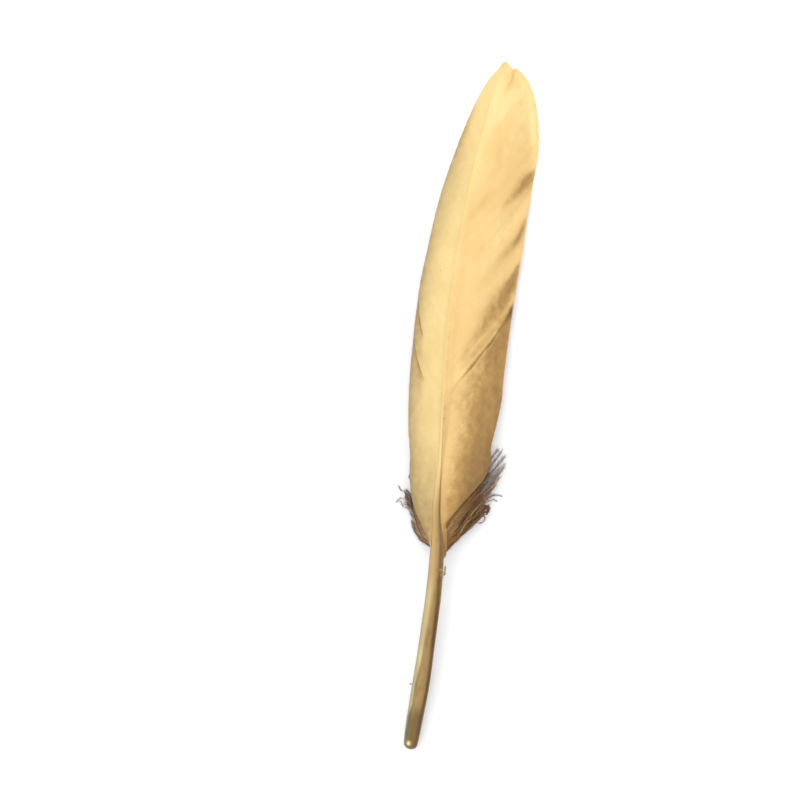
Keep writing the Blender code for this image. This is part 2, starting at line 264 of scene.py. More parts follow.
class Output:
    """A node's output. Arithmetic on outputs and numbers adds Math nodes."""

    def __init__(self, paint, socket):
        self.paint = paint
        self.socket = socket

    def maths(self, operation, *terms):
        """A Math node on these terms."""
        return self.paint.node("Math", {"operation": operation}, dict(enumerate(terms)))

    def __add__(self, other):
        return self.maths("ADD", self, other)

    def __sub__(self, other):
        return self.maths("SUBTRACT", self, other)

    def __rsub__(self, other):
        return self.maths("SUBTRACT", other, self)

    def __mul__(self, other):
        return self.maths("MULTIPLY", self, other)

    __radd__ = __add__
    __rmul__ = __mul__


class Paint:
    """A finish under construction, on one Principled shader."""

    def __init__(self, name):
        self.material = bpy.data.materials.new(name)
        self.material.use_nodes = True
        self.tree = self.material.node_tree

    def feed(self, socket, value):
        """Link an output to a socket, or set a number, vector or colour on it."""
        if isinstance(value, Output):
            self.tree.links.new(value.socket, socket)
        elif socket.type == "RGBA":
            socket.default_value = (*value, 1)
        else:
            socket.default_value = value

    def node(self, kind, settings, sockets, output=0):
        """Any node, by its type: its settings first, then the values or links of its sockets."""
        made = self.tree.nodes.new("ShaderNode" + kind)
        for setting, value in settings.items():
            setattr(made, setting, value)
        for socket, value in sockets.items():
            self.feed(made.inputs[socket], value)
        return Output(self, made.outputs[output])

    def own(self, label):
        """A number that the mesh keeps for each of its points."""
        return self.node("Attribute", {"attribute_name": label}, {}, "Fac")

    def noise(self, stretch, detail=2.0, rough=0.5, place=None, scale=1.0):
        """Noise from 0 to 1, with so many waves per metre each way if it is on the piece's coordinates."""
        place = place or self.node("TexCoord", {}, {}, "Object")
        place = self.node("Mapping", {}, {"Vector": place, "Scale": stretch})
        return self.node(
            "TexNoise", {}, {"Vector": place, "Scale": scale, "Detail": detail, "Roughness": rough}
        )

    def between(self, value, low, high, start=0.0, end=1.0):
        """A smooth rise from start to end as a value goes from low to high."""
        return self.node(
            "MapRange", {"interpolation_type": "SMOOTHSTEP"},
            {"Value": value, "From Min": low, "From Max": high, "To Min": start, "To Max": end},
        )

    def mix(self, share, first, second):
        """A colour between two colours."""
        return self.node("Mix", {"data_type": "RGBA"}, {0: share, 6: first, 7: second}, 2)

    def bump(self, height, depth):
        """A relief of that depth in metres, where height goes from 0 to 1."""
        return self.node("Bump", {}, {"Distance": depth, "Height": height})

    def finish(self, sockets):
        """The finished material, with these values and links on its shader."""
        for socket, value in sockets.items():
            self.feed(self.tree.nodes["Principled BSDF"].inputs[socket], value)
        return self.material


def shaft_rings():
    """The shaft's surface over angle t and distance along y.

    A section is the curve |x|^n + |z|^n = 1 stretched to the width and depth there, with flats that
    turn slowly about it: the radius is 1 + d cos(5 (t - turn)). Beneath the rachis a groove takes the
    middle of the lower half up by exp(-(x / w)^2). The near end is a quarter round about a small pit.
    """
    dome = DOME * (1 - np.cos(np.linspace(DOME_FROM, math.pi / 2, DOME_RINGS)))
    spread = np.linspace(0, 1, SHAFT_RINGS + 1)[1:]
    run = DOME + (SHAFT_END - DOME) * (CROWDING * spread**2 + (1 - CROWDING) * spread)
    outer = np.concatenate([dome, run])
    fullness = np.sqrt(1 - (1 - np.clip(outer / DOME, 0, 1)) ** 2)
    inside, mouth = np.array(PIT_RINGS).T * ((PIT_DEPTH,), (PIT_WIDTH,))
    along = np.concatenate([inside, outer])
    widths = np.concatenate([mouth, smooth(SHAFT_WIDTH, outer) * fullness])[:, None]
    depths = np.concatenate([mouth, smooth(SHAFT_DEPTH, outer) * fullness])[:, None]
    turn = np.arange(SHAFT_SIDES) * 2 * math.pi / SHAFT_SIDES
    power = 2 / smooth(SQUARENESS, along)[:, None]
    flats = 1 + FLAT_DEPTH * np.cos(FLATS * (turn - smooth(FLAT_TURNS, along)[:, None]))
    x = np.sign(np.cos(turn)) * np.abs(np.cos(turn)) ** power * widths / 2 * flats
    z = np.sign(np.sin(turn)) * np.abs(np.sin(turn)) ** power * depths / 2 * flats
    deep = depths * GROOVE_DEPTH * step_up(along, GROOVE_FROM, GROOVE_TO)[:, None]
    z += deep * bell(x, 0, widths / 2 * GROOVE_WIDTH) * np.clip(-2 * z / depths, 0, 1)
    middle = shaft_at(along)
    ahead = unit(shaft_at(along + MM) - shaft_at(along - MM))
    across = unit(np.cross(ahead, (0, 0, 1)))
    over = np.cross(across, ahead)
    rings = middle[:, None] + across[:, None] * x[..., None] + over[:, None] * z[..., None]
    bead_x, bead_y, radius, rise = BEAD
    near = np.hypot(rings[..., 0] - bead_x, rings[..., 1] - bead_y)
    drop = bell(near, 0, radius) * (z > 0)
    rings[..., 2] += rise * drop
    return np.maximum(rings, (-1, -1, 0)), turn, drop


def spots(table, rings):
    """Round marks on the shaft, added up: each a strength times a bell across and a bell along."""
    x, y, width, length, strength = np.array(table).T[..., None, None]
    marks = strength * bell(rings[..., 0] / MM, x, width) * bell(rings[..., 1] / MM, y, length)
    return marks.sum(axis=0)


rings, turn, drop = shaft_rings()
stations = rings[:, :1, 1]
lean = np.cos(turn)  # 1 on the trailing side, -1 on the leading side
ridge, softness = line(RIDGE, stations), line(RIDGE_SOFTNESS, stations)
beyond = lean - line(DARK_LINE, stations)
painted_flank_shade = line(DARKNESS, stations) * bell(beyond, 0, np.where(beyond < 0, *DARK_WIDTHS))
# light is painted light on the leading flat; crease and the trailing side's dark line are painted shade
shaft = add_tubes(
    "shaft", rings[None],
    {"lean": lean, "light": step_up(ridge - lean, -softness / 2, softness / 2),
     "crease": line(CREASE, stations) * bell(lean - ridge, CREASE_BEYOND, CREASE_WIDTH),
     "dark": painted_flank_shade + spots(DARK_PATCHES, rings), "dull": line(DULL, stations),
     "along": stations / MM, "bead_highlight_and_flecks": drop + spots(FLECKS, rings)},
    1, SHAFT_EDGE,
)

# GOLD_OLIVE and GOLD_CREAM: the leading flat, painted lighter as if lit. GOLD_CREASE, GOLD_DARK: painted
# shade
GOLD_OLIVE, GOLD_CREAM, GOLD_DULL = (0.41, 0.335, 0.165), (0.45, 0.345, 0.155), (0.385, 0.252, 0.1)
GOLD_TAN, GOLD_GREEN, GOLD_RUSSET = (0.405, 0.247, 0.102), (0.33, 0.257, 0.078), (0.26, 0.145, 0.066)
GOLD_CREASE, GOLD_DARK = (0.17, 0.125, 0.045), (0.14, 0.072, 0.024)
GOLD_END_TAN, GOLD_END_OLIVE = (0.19, 0.116, 0.05), (0.115, 0.084, 0.024)
GOLD_EDGE, GOLD_ON_TOP, GOLD_HIGHLIGHT_AND_FLECK = (0.3, 0.25, 0.17), (0.69, 0.5, 0.208), (0.95, 0.75, 0.33)
SHAFT_RELIEF = 0.06 * MM

paint = Paint("gold on the shaft")
along, lean = paint.own("along"), paint.own("lean")
streaks = paint.noise((1400, 30, 1400), 3.0)
fibres = paint.noise((2400, 90, 2400), 3.0)
patches = paint.noise((560, 330, 560), 3.0)
tints = paint.noise((260, 130, 260))
uneven = (streaks - 0.5) * 0.5 + (patches - 0.5) * 0.6
light = paint.mix(paint.between(streaks * 0.5 + fibres * 0.5, 0.4, 0.6), GOLD_OLIVE, GOLD_CREAM)
light = paint.mix(paint.own("dull"), light, GOLD_DULL)
middle = paint.mix(paint.between(tints + uneven * 0.3, 0.46, 0.66) * 0.85, GOLD_TAN, GOLD_GREEN)
middle = paint.mix(paint.own("dull") * 0.8, middle, GOLD_TAN)
middle = paint.mix(paint.between(patches * 0.6 + fibres * 0.4, 0.49, 0.68) * 0.9, middle, GOLD_RUSSET)
# darker tints over the first 13 mm from the quill's end: tan on the trailing side, olive on the leading side
deeper_tone = paint.between(along + (patches - 0.5) * 6, 13, 8.5, 0, 0.9)
end_tints = paint.mix(paint.between(lean + (tints - 0.5) * 1.2, 0.1, -0.6), GOLD_END_TAN, GOLD_END_OLIVE)
# painted shade in the crease beside the lit flat
middle = paint.mix(paint.own("crease"), paint.mix(deeper_tone, middle, end_tints), GOLD_CREASE)
# painted light: the leading flat is lighter, as if lit from the left
colour = paint.mix(paint.own("light") * (1 + uneven * 0.5), middle, light)
# painted shade along the trailing side, with darker patches
colour = paint.mix(paint.own("dark") * (1 + uneven * 0.6), colour, GOLD_DARK)
edge = paint.between(lean + uneven * 0.4, -0.82, -0.99, 0, 0.6) * paint.between(along, 54, 47)
colour = paint.mix(edge, colour, GOLD_EDGE)
top = paint.between(along - lean * 3.7, 60.6, 76.6)
colour = paint.mix(top, colour, GOLD_ON_TOP)
# painted highlight on the drop of paint, and the bright flecks
colour = paint.mix(paint.own("bead_highlight_and_flecks"), colour, GOLD_HIGHLIGHT_AND_FLECK)
grain = paint.noise((9000, 3000, 9000))
shaft.data.materials.append(paint.finish({
    "Base Color": colour, "Metallic": 0.7 - top * 0.35, "Roughness": 0.25 + streaks * 0.14 + top * 0.15,
    "Normal": paint.bump(grain * 0.4 + streaks, SHAFT_RELIEF),
}))

# Vanes: about three hundred barbs on each side of the rachis, each a thin blade keeled beneath, hooked
# to its neighbours so that they lie as one sheet. They grow from the rachis's upper flanks, and past
# the feather's middle the paint bridges them over it. A few have come unhooked.
LEADING_BARBS = MM * np.array(
    [(53, -3.2, 54.6), (53.3, -3.8, 55.9), (53.6, -4.7, 57.7), (53.9, -5.7, 59.3), (54.3, -6.9, 60.8),
     (54.8, -7.8, 62.2), (55.3, -8.5, 63.7), (55.8, -9.15, 65.5), (56.4, -9.7, 67.5), (57, -10.1, 69.4),
     (60, -10.85, 75.5), (68, -12.3, 83), (78, -13.6, 94), (89, -14.25, 107.5), (98, -14.35, 118),
     (112, -13.6, 130), (127, -12.35, 143), (140, -10.5, 153), (152, -8.4, 162), (163, -5.8, 170.4),
     (171, -3.5, 175.5), (176, -1.75, 178), (179, -0.95, 179.8)]
)
TRAILING_BARBS = MM * np.array(
    [(50, 1.95, 51.6), (52.5, 1.75, 54.6), (55, 1.3, 57.6), (56.8, 1.1, 59.8), (57.6, 2.5, 62.1),
     (58.2, 3.9, 64.4), (58.7, 5.7, 67.1), (59.2, 7.6, 69.8), (59.8, 9, 72), (60.6, 9.75, 74.6),
     (61.8, 10.1, 77.4), (63.4, 9.75, 80.4), (65.4, 10.1, 84), (69, 10.75, 90.5), (76, 10.55, 99),
     (91, 10.5, 116.5), (105, 10.85, 131), (120, 11.1, 147), (130, 11.5, 156.5), (140, 10.8, 163.5),
     (148, 9.2, 170), (158, 6.1, 176.2), (163, 4, 177.9), (167, 2.7, 178.7), (170, 1.7, 178.4),
     (173, 0.9, 179.1), (179, -0.3, 180.1)]
)
LEADING_BOW = ((53, 0.02), (54.5, 0.06), (56, 0.1), (60, 0.14), (66, 0.16), (100, 0.2))
TRAILING_BOW = ((60, 0), (68, 0.07))
# How far from the shaft's middle line the barbs start, as a share of its half width
LEADING_ROOTS = ((52, 0.95), (66, 0.85), (76, 0.5), (88, 0.1), (100, 0))
TRAILING_ROOTS = ((50, 0.85), (58, 0.85), (74, 0.9), (86, 0.8), (96, 0), (104, -0.3))
LEADING_DROOP = np.array(
    [(0.05, 34), (0.11, 52), (0.14, 74), (0.15, 88), (0.16, 98), (0.172, 62), (0.181, 40)]
)
TRAILING_DROOP = np.array(
    [(0.05, 18), (0.105, 21.5), (0.125, 17.2), (0.145, 14), (0.152, 14), (0.158, 15), (0.167, 15),
     (0.181, 16)]
)
RIPPLE_HEIGHT, RIPPLE_LENGTH, RIPPLE_AT = 0.36 * MM, 13 * MM, 152 * MM
RIPPLES_FROM, RIPPLES_TO = 96 * MM, 160 * MM
BARBS, BARB_STATIONS = 320, 34
ROOT_LIFT, EDGE_LIFT = 0.44 * MM, 0.12 * MM  # a blade's height over the vane's underside
# How blades cover the rachis: how far over its top, how far past its half width, how squarely, and the
# share of its height that they cover on the trailing side
COVER = 0.05 * MM
COVER_REACH, COVER_SHAPE = ((72, 1.3), (95, 5), (150, 8)), ((72, 4), (95, 2))
COVER_TRAILING = ((66, 0.3), (80, 0.75), (92, 1))
OVERLAP = 0.64  # half a blade's width, as a share of the spacing
BLADE_ROUND = 0.1  # how far its middle stands over its sides, as a share of the spacing
ROOT_KEEL, EDGE_KEEL = 0.3 * MM, 0.07 * MM
BLADE_SECTION = ((1, 0), (0.55, 0.75), (0, 1), (-0.55, 0.75), (-1, 0), (0, -1))  # the last is the keel
BLADE_SIDE, LEAST_HEIGHT = 0.02 * MM, 0.01 * MM  # how far its sides lie below the arch, how low it may lie
BLADE_EDGE, BLADE_COLUMNS = math.radians(60), 8  # steeper edges stay sharp; columns on the finish's map
TIP_TAPER, TAPER_FROM = 0.6, 0.96
SPACING = (0.06 * MM, 0.5 * MM)  # the least and the most
COVER_BLEND = 0.12 * MM
SLOW_WAVE, FINE_WAVE = 0.05 * MM, 0.006 * MM
FINE_STEPS, SHORT_BARB = 1500, 8 * MM  # barbs shorter than this are more even
LENGTH_CHANCE = 0.12 * MM
LOCK_BARBS = (5, 16)  # how many barbs hang together at the edge
LOCK_GAP, LOCK_FROM = 0.06 * MM, 0.72  # how far they close up, and from which share of the way out
# Where barbs have parted: the gap's end at the edge, the share of the barb where it starts, its width
# at the edge, how far its upper lip stands over the lower, how many barbs give way, and how dark it is,
# as unpainted barb sides and painted shadow beside the lip
LEADING_PARTINGS = [
    ((-14.35, 117.3), 0.45, 0.2, 0.3, 9, 1), ((-14.4, 107.6), 0.33, 0.18, 0.3, 9, 1),
]
TRAILING_PARTINGS = [((10.4, 117), 0.06, 0.08, 0.24, 8, 0.5), ((2.2, 178.6), 0.78, 0.1, 0.03, 4, 0.05)]
# Painted shade in the folds where the barbs ripple, along the split and at its mouth: paths of soft strokes,
# each point across, along, half width, strength
FOLDS = [
    [(4, 142.2, 0.6, 0.1), (5.5, 144, 0.9, 0.3), (7.2, 146.3, 1.2, 0.42), (9, 149.3, 1.6, 0.55),
     (10.6, 151.4, 1.5, 0.5)],
    [(4.5, 127.2, 0.9, 0.08), (6, 129.8, 1.1, 0.15), (7.6, 132, 1, 0.22), (9, 134.2, 0.8, 0.5),
     (9.9, 137, 0.6, 0.46), (10.5, 140, 0.4, 0.2)],
    [(10.2, 128, 0.4, 0.35), (9.6, 124.8, 0.9, 0.64), (8.6, 121.5, 1.8, 0.58), (6.8, 117.5, 2.6, 0.46),
     (4.8, 113.5, 2.3, 0.44), (3, 110, 1.5, 0.34), (1.6, 107.2, 1, 0.24), (0.2, 104.8, 1, 0.2),
     (-0.8, 102, 1.2, 0.14)],
    [(-0.5, 99.8, 0.8, 0.15), (2, 103.6, 1, 0.26), (5, 108.4, 1, 0.26), (8.6, 114.8, 1, 0.3)],
    [(-3.6, 138.2, 0.9, 0.06), (-1.5, 142, 1, 0.12), (0.6, 145.5, 1, 0.06)],
    [(-0.5, 148, 1.2, 0.04), (1.6, 153, 1.1, 0.1), (0.8, 157.5, 1.1, 0.05)],
    [(0, 171.6, 0.8, 0.06), (1.6, 173.4, 0.9, 0.1), (2.1, 175.6, 0.3, 0.22), (2.3, 177.9, 0.25, 0.3)],
]
SPLIT = [
    [(-2.8, 92.4, 0.3, 0.1), (-1.5, 94.8, 0.3, 0.26), (0.5, 98.3, 0.35, 0.4), (1.6, 100.2, 0.5, 0.85),
     (2.6, 101.9, 0.5, 0.8), (4, 104.1, 0.35, 0.5), (5.2, 106, 0.4, 0.66), (6.8, 108.9, 0.35, 0.5),
     (8.2, 111.8, 0.5, 0.8), (9.4, 114.2, 0.7, 1.1), (10.1, 116, 0.7, 1.3), (10.4, 117.8, 0.4, 0.7)],
]
MOUTH = [[(9.2, 113.2, 0.4, 0.25), (9.7, 114.8, 0.45, 0.5), (9.9, 116.2, 0.4, 0.6), (10.1, 117.6, 0.3, 0.35)]]
# The gold vanes' lower edges are frayed and brown, partly painted shade beneath them, with painted shade on
# the leading rim's upper part; soft patches near the tip are paler, partly painted light where the vane
# droops
LEADING_FRAY = [
    [(-3, 54.6, 0.35, 0.4), (-4.5, 57.5, 0.5, 0.5), (-5.5, 59.2, 0.5, 0.5), (-6.7, 60.8, 0.5, 0.5),
     (-7.6, 62.3, 0.5, 0.55), (-8.4, 63.9, 0.5, 0.5), (-9.1, 65.8, 0.5, 0.4), (-9.8, 68, 0.3, 0.25)],
    [(-3, 56, 0.6, 0.16), (-3.9, 60, 0.7, 0.18), (-4.4, 63, 0.7, 0.1), (-4.4, 65, 0.6, 0)],
    [(-9.5, 132, 3, 0.01), (-9, 140, 3, 0.035), (-8, 148, 3, 0.06), (-6, 158, 3, 0.05), (-5, 166, 2.5, 0.04)],
]
TRAILING_FRAY = [
    [(0.8, 59.5, 0.25, 0.5), (2.3, 61.8, 0.25, 0.6), (3.8, 64.1, 0.25, 0.6), (5.6, 66.8, 0.3, 0.7),
     (7.4, 69.5, 0.35, 0.8), (8.6, 71.6, 0.4, 0.7), (9.3, 74.2, 0.35, 0.4)],
    [(10, 76, 0.4, 0.06), (10, 78, 0.4, 0.1), (9.7, 80.5, 0.35, 0.06)],
]
# Paler gold near the tip and between the folds, partly painted light where the vane droops away from the
# light
PALE = [
    [(-4.2, 146, 1.4, 0.15), (-3.6, 154, 1.8, 0.5), (-2.4, 162, 2.6, 0.95), (-1.4, 170, 2.6, 0.95),
     (-0.6, 178, 1.6, 1)],
    [(0.7, 178.4, 1, 0.9), (0.4, 175.5, 0.9, 0.7)],
    [(5, 158, 3, 0.2), (5, 161, 4, 0.35)],
    [(0.2, 165.5, 1.2, 0.9), (1.6, 169, 2.2, 1), (3.8, 171.5, 2.6, 1), (5.6, 172, 2, 0.9)],
    [(3.5, 177, 1.1, 0.9), (4.9, 174.8, 1.6, 1), (6.7, 171, 2, 1), (8.2, 166, 1.8, 1), (9.8, 160, 1, 0.7)],
    [(4.5, 163.5, 2.6, 0.5), (5.2, 168, 3, 1), (7.4, 165.5, 2, 0.8)],
    [(3.4, 133, 2.4, 0.5), (4.6, 138, 2.4, 0.7), (7, 140, 1.6, 0.4)],
    [(2.6, 126, 2, 0.5), (3.6, 129, 2, 0.5)],
]
# Painted shade along the rachis's trailing flank, in the same way
RACHIS_FLANK = [
    [(-2.6, 77, 0.35, 0.1), (-3.2, 84, 0.45, 0.18), (-4, 92, 0.5, 0.17), (-4.75, 100, 0.5, 0.16),
     (-5.3, 108, 0.5, 0.13), (-5.7, 118, 0.5, 0.06), (-5.9, 126, 0.5, 0)],
    [(-2.4, 92, 1.4, 0.03), (-0.8, 90.5, 1.8, 0.09), (0.8, 92.5, 1.6, 0.04)],
]


def underside(flat):
    """The vane's lowest height: from the shaft it falls with the square of the distance out."""
    along = flat[..., 1]
    away = flat[..., 0] - smooth(SHAFT_MIDDLE, along)
    droop = np.where(away < 0, smooth(LEADING_DROOP, along), smooth(TRAILING_DROOP, along))
    return np.maximum(smooth(SHAFT_HEIGHT, along) - droop * away**2, 0)


def over_rachis(flat):
    """How high blades must stand above the shaft's middle to cover it: h (1 - (x / w)^n)."""
    along = flat[..., 1]
    away = flat[..., 0] - smooth(SHAFT_MIDDLE, along)
    share = np.abs(away) / (line(COVER_REACH, along) * smooth(SHAFT_WIDTH, along) / 2)
    top = (smooth(SHAFT_DEPTH, along) / 2 + COVER) * np.where(away > 0, line(COVER_TRAILING, along), 1)
    return top * (1 - np.minimum(share, 1.4) ** line(COVER_SHAPE, along))


def strokes(paths, across, along):
    """How dark soft strokes make each place, where the darkest stretch counts.

    A stretch runs straight between two points of a path. At the distance d from it, with the half
    width w and the strength s that it has at the nearest point, it gives s exp(-(d / w)^2).
    """
    dark = np.zeros_like(across)
    for path in paths:
        for first, last in zip(np.array(path, float), np.array(path[1:], float)):
            run = last - first
            share = ((across - first[0]) * run[0] + (along - first[1]) * run[1]) / (run[0] ** 2 + run[1] ** 2)
            x, y, width, strength = (first + np.clip(share, 0, 1)[..., None] * run).T
            away = np.hypot(across - x.T, along - y.T)
            dark = np.maximum(dark, strength.T * bell(away, 0, width.T))
    return dark


def wander(chance, count, reach):
    """Random numbers about 0 that change slowly: white noise averaged over so many neighbours."""
    kernel = bell(np.arange(-3 * reach, 3 * reach + 1), 0, reach)
    noise = chance.normal(size=count + 6 * reach)
    return np.convolve(noise, kernel / np.sqrt((kernel**2).sum()), mode="valid")


def arc(start, bend, end, part):
    """Points on the quadratic arc from start to end that sets out towards bend."""
    return start * (1 - part) ** 2 + bend * 2 * part * (1 - part) + end * part**2


def lock_phase(chance, count):
    """For each barb its place in its lock, from -1 to 1, and how far its lock closes up, from 0 to 1."""
    sizes = chance.integers(*LOCK_BARBS, size=count)
    lock = np.repeat(np.arange(count), sizes)[:count]
    start = np.concatenate([[0], np.cumsum(sizes)])
    phase = 2 * (np.arange(count) - start[lock] + 0.5) / sizes[lock] - 1
    return phase, chance.uniform(0, 1, count)[lock] ** 3


def vane(table, bow, root_line, side, partings, seed, barbs=BARBS, loose=1.0, fall=None):
    """A sheet of barbs as rings[barb, station, side], numbers for the paint, and places in millimetres.

    A barb follows a quadratic arc from the shaft's flank to its end. Its section lies in the sheet: a
    shallow arch above and a keel below, as wide as the spacing of the barbs and a little more. A loose
    sheet is more ragged, and falls below the vane by a + b s^1.5 at the share s of the way out. The
    barbs are spread evenly over the way that their roots and their ends go.
    """
    chance = np.random.default_rng(seed)
    fine = np.linspace(table[0, 0], table[-1, 0], FINE_STEPS)
    steps = np.diff(fine) + np.linalg.norm(np.diff(smooth(table, fine), axis=0), axis=1)
    gone = np.concatenate([[0], np.cumsum(steps)])
    roots = np.interp(np.linspace(0, gone[-1], barbs), gone, fine)
    start = shaft_at(roots)[:, :2]
    start[:, 0] += side * line(root_line, roots) * smooth(SHAFT_WIDTH, roots) / 2
    end = smooth(table, roots)
    reach = end - start
    length = np.linalg.norm(reach, axis=-1)
    even = step_up(length, 0, SHORT_BARB)
    ahead = reach / length[:, None]
    end = end + ahead * (LENGTH_CHANCE * loose * even * chance.uniform(-1, 0.4, barbs))[:, None]
    outwards = np.stack([reach[:, 1], -reach[:, 0]], axis=-1) * side
    bend = (start + end) / 2 + outwards * line(bow, roots)[:, None]
    out = np.linspace(0, 1, BARB_STATIONS) ** 1.15
    flat = arc(start[:, None], bend[:, None], end[:, None], out[None, :, None])

    edge = end[:, 1:]
    rising = step_up(edge, RIPPLES_FROM, RIPPLES_FROM + RIPPLE_LENGTH)
    fading = 1 - step_up(edge, RIPPLES_TO - RIPPLE_LENGTH, RIPPLES_TO)
    ripple = RIPPLE_HEIGHT * rising * fading * np.sin((edge - RIPPLE_AT) / RIPPLE_LENGTH * 2 * math.pi)
    waves = SLOW_WAVE * loose * wander(chance, barbs, 7)[:, None] * out**2
    waves = waves + FINE_WAVE * loose * wander(chance, barbs, 1)[:, None] * out
    lift = ROOT_LIFT + (EDGE_LIFT - ROOT_LIFT) * out
    if fall is None:
        cover = over_rachis(flat)
        lift = (lift + cover + np.sqrt((lift - cover) ** 2 + COVER_BLEND**2)) / 2
    else:
        lift = lift - (fall[0] + fall[1] * out**1.5) * MM
    height = underside(flat) + lift + (waves + ripple * out**2 * (side > 0)) * even[:, None]

    path = np.concatenate([flat, height[..., None]], axis=-1)
    along = unit(np.gradient(path, axis=1))
    next_to = np.gradient(path, axis=0)
    spacing = np.linalg.norm(np.cross(next_to, along), axis=-1)
    spacing = np.clip(spacing, *SPACING)

    gap, lip, bare_and_shadow, shade = np.zeros((4, *height.shape))
    for mouth, inner, width, lips, give, dark in partings:
        nearest = np.argmin(np.linalg.norm(end - np.array(mouth) * MM, axis=-1)) + 0.5
        nearest = nearest + 0.5 * wander(chance, BARB_STATIONS, 2)
        away = np.arange(barbs)[:, None] - nearest
        opened = np.clip((out - inner) / (1 - inner), 0, 1)
        closing = np.exp(-np.abs(away) / give)
        gap += np.sign(away) * closing * width / 2 * MM * opened**1.4
        lip += np.sign(away) * closing * lips / 2 * MM * step_up(opened, 0, 0.4)
        broken = np.clip(0.8 + 0.3 * wander(chance, BARB_STATIONS, 1), 0.3, 1.3)
        # barbs just under a parting's lip are darker: their unpainted sides and painted shadow
        bare_and_shadow += dark * broken * bell(away, -0.5, 1.1) * step_up(opened, 0, 0.3) * (0.75 + 0.25 * opened)
        shade += dark * np.where(away < 0, closing, 0) * step_up(opened, 0, 0.3)
    phase, closed = lock_phase(chance, barbs)
    gap -= (LOCK_GAP * loose * phase * closed * even)[:, None] * step_up(out, LOCK_FROM, 1) ** 2

    upwards = unit(np.cross(next_to, along))
    upwards *= np.sign(upwards[..., 2:])
    across = np.cross(along, upwards) * -side
    across *= np.sign((across * next_to).sum(axis=-1, keepdims=True))
    middle = path + across * gap[..., None] + upwards * lip[..., None]
    taper = 1 - TIP_TAPER * step_up(out, TAPER_FROM, 1)
    half = (spacing * OVERLAP * taper)[..., None, None]
    arch = (spacing * BLADE_ROUND * taper)[..., None, None]
    keel = ((ROOT_KEEL + (EDGE_KEEL - ROOT_KEEL) * out**0.6) * taper)[None, :, None, None]
    right = np.cross(along, upwards)
    x, z = np.array(BLADE_SECTION).T[..., None]
    level = np.where(z < 0, z * keel, (z - 1) * arch)
    level = np.where(z == 0, -arch - BLADE_SIDE, level)
    rings = middle[:, :, None] + right[:, :, None] * x * half + upwards[:, :, None] * level
    rings[..., 2] = np.maximum(rings[..., 2], LEAST_HEIGHT)

    streak = wander(chance, barbs, 2) * 0.5 + wander(chance, barbs, 9) * 0.6 + chance.normal(size=barbs) * 0.2
    values = {
        "streak": streak[:, None, None], "row": np.arange(barbs)[:, None, None] * 0.35,
        "out": out[:, None], "bare_and_shadow": np.clip(bare_and_shadow, 0, 1)[..., None], "shade": shade[..., None],
    }
    return rings, values, middle[..., 0] / MM, middle[..., 1] / MM


# The same gold is painted lighter on the trailing vane than on the leading one, to make up for the shade that
# the brighter left of the light leaves on it; both tips are paler, partly painted light
GOLD_LEADING, GOLD_TRAILING = (0.63, 0.472, 0.2), (0.775, 0.535, 0.22)
GOLD_LEADING_TIP, GOLD_TRAILING_TIP = (0.68, 0.495, 0.21), (0.79, 0.62, 0.275)
LEADING_BLOTCH, TRAILING_BLOTCH = (0.605, 0.44, 0.18), (0.75, 0.505, 0.2)
GOLD_OLIVE_RIM, GOLD_OCHRE, GOLD_BROWN = (0.275, 0.195, 0.085), (0.45, 0.265, 0.08), (0.262, 0.141, 0.044)
UMBER = (0.14, 0.058, 0.02)
VANE_RELIEF = 0.03 * MM
SPECKS = [(-3.7, 86, 0.3, 0.7), (-9.6, 123.6, 0.34, 0.25), (-2, 167.3, 0.34, 0.22), (0.6, 84.5, 0.14, 0.5)]


def gold_on_vane(name, gold, tip, blotched):
    """Satin gold paint over barbs, brushed along them, blotched, and browner where the paint is thinner
    and where shade is painted in.
    """
    paint = Paint(name)
    streak, thin_and_shade, rim = paint.own("streak"), paint.own("thin_and_shade"), paint.own("rim")
    brushed = paint.node("CombineXYZ", {}, {"X": paint.own("row"), "Y": paint.own("out") * 4})
    brushed = paint.noise((1, 1, 1), 3.0, 0.6, brushed)
    blotch = paint.noise((150, 90, 150))
    mottle = paint.noise((620, 480, 620), 3.0)
    speckle = paint.noise((2600, 2600, 2600), 3.0)
    fine = paint.noise((5000, 5000, 5000))
    colour = paint.mix(paint.own("tip"), gold, tip)
    patchy = blotch * 0.62 + mottle * 0.28 + brushed * 0.1 + streak * 0.012
    blotches = paint.between(patchy, 0.43, 0.6) * (1 - paint.own("tip") * 0.7)
    colour = paint.mix(blotches, colour, blotched)
    rough = paint.between(thin_and_shade, 0.03, 0.35)
    uneven = rough * ((mottle - 0.5) * 0.6 + (blotch - 0.5) * 0.35 + (brushed - 0.5) * 0.16)
    # browner where the paint is thinner and where shade is painted in
    deeper_tone = (thin_and_shade + uneven + streak * 0.02 + (speckle - 0.5) * 0.14) * 2
    colour = paint.mix(deeper_tone, colour, GOLD_OCHRE)
    colour = paint.mix(deeper_tone - 1, colour, GOLD_BROWN)
    # painted shade along the leading rim
    colour = paint.mix(rim * (1 + (mottle - 0.5) * 0.9), colour, GOLD_OLIVE_RIM)
    # unpainted barb sides with painted shadow at partings, beside the rachis and at the split's mouth
    colour = paint.mix(paint.own("bare_and_shadow"), colour, UMBER)
    for x, y, size, strength in SPECKS:
        place = paint.node("TexCoord", {}, {}, "Object")
        flat = paint.node("VectorMath", {"operation": "MULTIPLY"}, {0: place, 1: (1, 1, 0)})
        spot = (x * MM, y * MM + INTO_FRAME[1], 0)
        away = paint.node("VectorMath", {"operation": "DISTANCE"}, {0: flat, 1: spot}, "Value")
        colour = paint.mix(paint.between(away, size * MM, size * 0.4 * MM, 0, strength), colour, UMBER)
    return paint.finish({
        "Base Color": colour, "Metallic": 0.35, "Roughness": 0.42 + fine * 0.16,
        "Normal": paint.bump(fine, VANE_RELIEF),
    })


